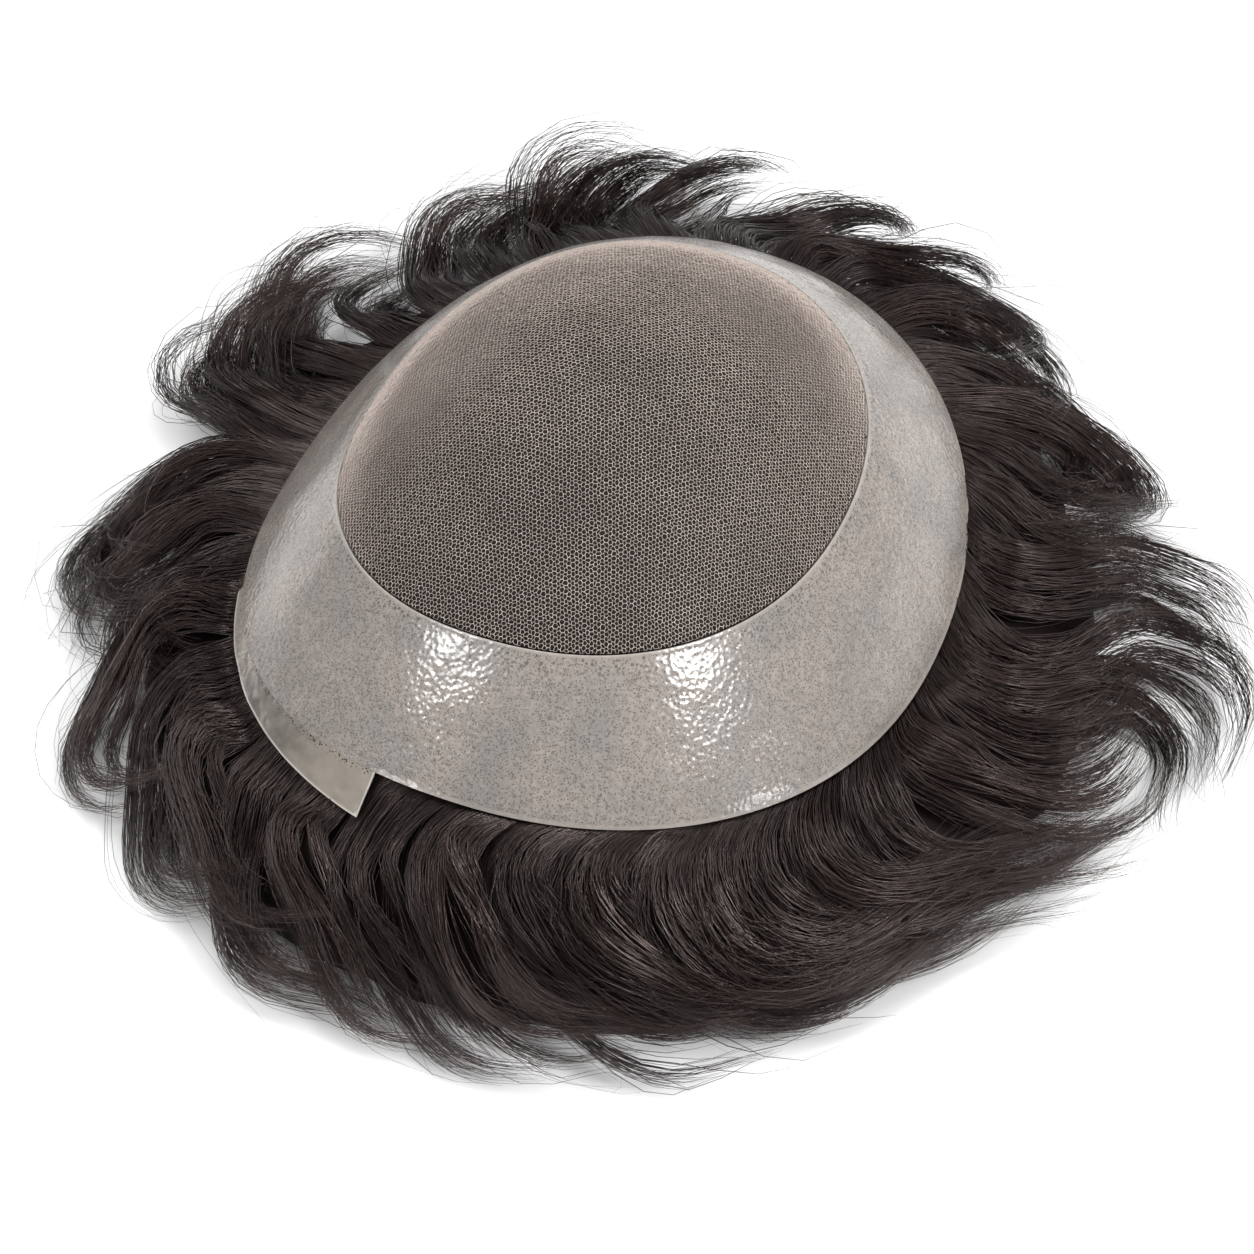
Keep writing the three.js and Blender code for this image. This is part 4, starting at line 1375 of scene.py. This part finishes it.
@dataclass
class HairMass:
    """The dark body of hair under the strands, coloured darker than most strands as painted shade in the hair's
    depths: root layer inside the dome and low skirt.
    """

    flow: HairFlow
    columns: int = 300
    clear: float = 1.6
    root_layer: float = 9.0
    lowered: float = 4.0
    foot_inset: float = 8.0
    edge_inset: float = 7.0
    ridge: float = 0.9
    cover_shares: tuple = (0, 0.2, 0.4, 0.6, 0.75, 0.88, 0.94)
    skirt_shares: tuple = (0.0, 0.05, 0.12, 0.2, 0.3, 0.4, 0.5, 0.6, 0.7, 0.8, 0.88, 0.95, 1.0)

    def profile(self, angle: float, reach: float) -> np.ndarray:
        """Lists the points of the body at one angle, from the crown round to the inside.

        Args:
            angle: Direction from the crown axis, in radians.
            reach: How far the skirt goes out from the rim, in millimetres.

        Returns:
            One row of x, y and z for each point, first and last on the crown axis.
        """
        rim = float(DOME.rim.radius(angle))
        cover = np.array(self.cover_shares)
        over = DOME.point(angle, rim * cover, -self.clear - self.lowered * smooth((cover - 0.75) / 0.19))
        out = np.array(self.skirt_shares)
        radii = rim + out * reach
        x, y = radii * math.cos(angle), radii * math.sin(angle)
        drop = self.lowered + 2.5 * out**6
        skirt = np.stack([x, y, self.flow.top(x, y) - drop], axis=-1)
        ground = np.append(rim + reach * np.array([1.02, 0.99, 0.6, 0.2]), rim - self.foot_inset)
        feet = np.array([3.0, 0.3, 0.3, 0.3, 0.3])
        sole = np.stack([ground * math.cos(angle), ground * math.sin(angle), feet], axis=-1)
        depth = -(self.flow.under_skin + self.root_layer)
        lining = DOME.point(angle, rim * np.array([0.9, 0.8, 0.65, 0.5, 0.35, 0.18, 0]), depth)
        return np.concatenate([over, skirt, sole, lining])

    def build(self, material: bpy.types.Material) -> bpy.types.Object:
        """Makes the body as one closed skin with combed ridges."""
        turn = np.arange(self.columns) / self.columns * 2 * math.pi
        reach = self.flow.skirt_reach(turn) - self.edge_inset
        ragged = ripple(np.stack([90 * np.cos(turn), 90 * np.sin(turn), 0 * turn], axis=-1), 9.0, 2.0)
        profiles = [self.profile(a, r * (1 + 0.1 * n)) for a, r, n in zip(turn, reach, ragged)]
        count = len(profiles[0])
        rows = np.array(profiles)
        comb = ripple(np.stack([60 * np.cos(turn), 60 * np.sin(turn), 0 * turn], axis=-1), 1.3, 7.0)
        combed = slice(len(self.cover_shares) + 1, len(self.cover_shares) + len(self.skirt_shares))
        rows[:, combed, 2] += self.ridge * (comb[:, None] - 0.4)
        inner = rows[:, 1:-1].reshape(-1, 3)
        points = np.concatenate([inner, rows[0, :1], rows[0, -1:]])
        span, top = count - 2, len(inner)
        faces: list[tuple[int, ...]] = []
        for i in range(self.columns):
            here, there = i * span, ((i + 1) % self.columns) * span
            faces.append((top, here, there))
            faces.append((top + 1, there + span - 1, here + span - 1))
            faces += [(here + j, here + j + 1, there + j + 1, there + j) for j in range(span - 1)]
        # A low, even tone: painted shade for the hidden hair.
        values = {"tone_and_shade": np.full(len(points), 0.15), "along": np.zeros(len(points))}
        piece = mesh_object("hair_mass", points, faces, material, values)
        enrol(piece, "hair")
        return piece


@dataclass
class Hair:
    """All the hair: the dark body and the strands that show."""

    flow: HairFlow = field(default_factory=HairFlow)
    pieces: tuple[HairPiece, ...] = (
        HairPiece("hair_right", 2300, 14, 35.0, 11.0, scatter=2.8, frizz=8.5),
        HairPiece(
            "hair_back", 2300, 14, 5.0, 9.0, gather=0.92, clumps=3.0, pull=0.6, scatter=3.2, frizz=9.0,
            tilt=1.5, seed=5,
        ),
        HairPiece(
            "hair_left", 2450, 13, 14.0, 11.0, clumps=3.0, pull=0.58, scatter=3.6, frizz=11.0, wave=2.2,
            seed=7,
        ),
        HairPiece("hair_front", 2250, 14, 25.0, 10.0, wave=3.6, swell=2.4, seed=9),
        HairPiece(
            "hair_strays", 600, 22, 0.0, 41.0, radius=0.08, gather=0.8, pull=0.1, scatter=9.0, frizz=20.0,
            shortest=0.85, longest=1.12, seed=13,
        ),
    )

    def build(self) -> None:
        """Makes every piece of the hair."""
        # The body's finish is the hair's own dark brown made darker still: painted shade of the deep hair that
        # shows between locks.
        body = HairFinish("hair_body", light=(0.013, 0.009, 0.008, 1), gloss=0.2, dull=0.35)
        HairMass(self.flow).build(body.material())
        shown = HairFinish().material()
        tree = HairTree(self.flow)
        for piece in self.pieces:
            piece.build(tree, self.flow.guides(), shown)


@dataclass(frozen=True)
class Light:
    """A soft light seen from the middle of the piece."""

    name: str
    azimuth: float
    elevation: float
    size: float
    power: float
    distance: float = 1.1

    def build(self, aim: Vector) -> None:
        """Hangs the light so that it faces the aim."""
        turn, rise = math.radians(self.azimuth), math.radians(self.elevation)
        away = Vector((math.sin(turn) * math.cos(rise), -math.cos(turn) * math.cos(rise), math.sin(rise)))
        lamp = bpy.data.lights.new(self.name, "AREA")
        lamp.shape = "DISK"
        lamp.size = self.size
        lamp.energy = self.power
        made = bpy.data.objects.new(self.name, lamp)
        made.location = aim + away * self.distance
        made.rotation_euler = (-away).to_track_quat("-Z", "Y").to_euler()
        bpy.context.scene.collection.objects.link(made)


@dataclass
class Studio:
    """Camera, table and lights."""

    azimuth: float = 23.0
    elevation: float = 48.9
    focal_pixels: float = 3200.0
    frame_pixels: float = 1254.0
    distance: float = 757.0
    aim_right: float = -3.965
    aim_up: float = 23.26
    sensor: float = 36.0
    table_size: float = 6.0
    daylight: float = 0.34
    lights: tuple[Light, ...] = (
        Light("right_softbox", 86, 42, 0.34, 8.5),
        Light("left_softbox", -42, 50, 0.28, 4.0),
        Light("right_low", 84, 8, 0.2, 1.2),
        Light("left_low", -28, 14, 0.2, 1.0),
        Light("right_back", 140, 36, 0.5, 2.0),
        Light("left_back", -105, 34, 0.5, 3.0),
        Light("overhead", 200, 80, 1.6, 24.0, 2.6),
    )

    def camera(self) -> None:
        """Makes the camera at the photograph's angle."""
        turn, rise = math.radians(self.azimuth), math.radians(self.elevation)
        right = Vector((math.cos(turn), math.sin(turn), 0))
        ahead = Vector((-math.sin(turn) * math.cos(rise), math.cos(turn) * math.cos(rise), -math.sin(rise)))
        up = right.cross(ahead)
        made = bpy.data.objects.new("camera", bpy.data.cameras.new("camera"))
        made.data.sensor_width = self.sensor
        made.data.lens = self.focal_pixels / self.frame_pixels * self.sensor
        made.data.clip_start = 0.01
        aim = Vector(AXIS) + Vector((0, 0, DOME.rim_standing * MM))
        made.location = aim - (ahead * self.distance + right * self.aim_right + up * self.aim_up) * MM
        made.rotation_euler = Matrix((right, up, -ahead)).transposed().to_euler()
        bpy.context.scene.collection.objects.link(made)
        bpy.context.scene.camera = made

    def table(self) -> None:
        """Makes the pale surface that the hair lies on."""
        half = self.table_size / 2
        mesh = bpy.data.meshes.new("table")
        corners = [(-half, -half, 0), (half, -half, 0), (half, half, 0), (-half, half, 0)]
        mesh.from_pydata(corners, [], [(0, 1, 2, 3)])
        mesh.materials.append(TableFinish().material())
        new_object("table", mesh)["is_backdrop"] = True

    def build(self) -> None:
        """Sets up table, lights and even daylight."""
        self.table()
        aim = Vector(AXIS) + Vector((0, 0, 0.05))
        for light in self.lights:
            light.build(aim)
        world = bpy.data.worlds.new("daylight")
        bpy.context.scene.world = world
        world.use_nodes = True
        background = world.node_tree.nodes["Background"]
        background.inputs["Color"].default_value = (1, 1, 1, 1)
        background.inputs["Strength"].default_value = self.daylight
        bpy.context.scene.view_settings.view_transform = "Standard"


def main() -> None:
    """Builds the camera, the four named parts of the hairpiece and the studio."""
    logging.basicConfig(level=logging.INFO, format="%(message)s")
    studio = Studio()
    studio.camera()
    for part in (NetCentre(), SkinBand(), TAB, Hair()):
        part.build()
        LOG.info("built %s", type(part).__name__)
    studio.build()
    total = sum(len(piece.data.loop_triangles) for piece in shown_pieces())
    LOG.info("all pieces: %d triangles", total)


if __name__ == "__main__":
    main()
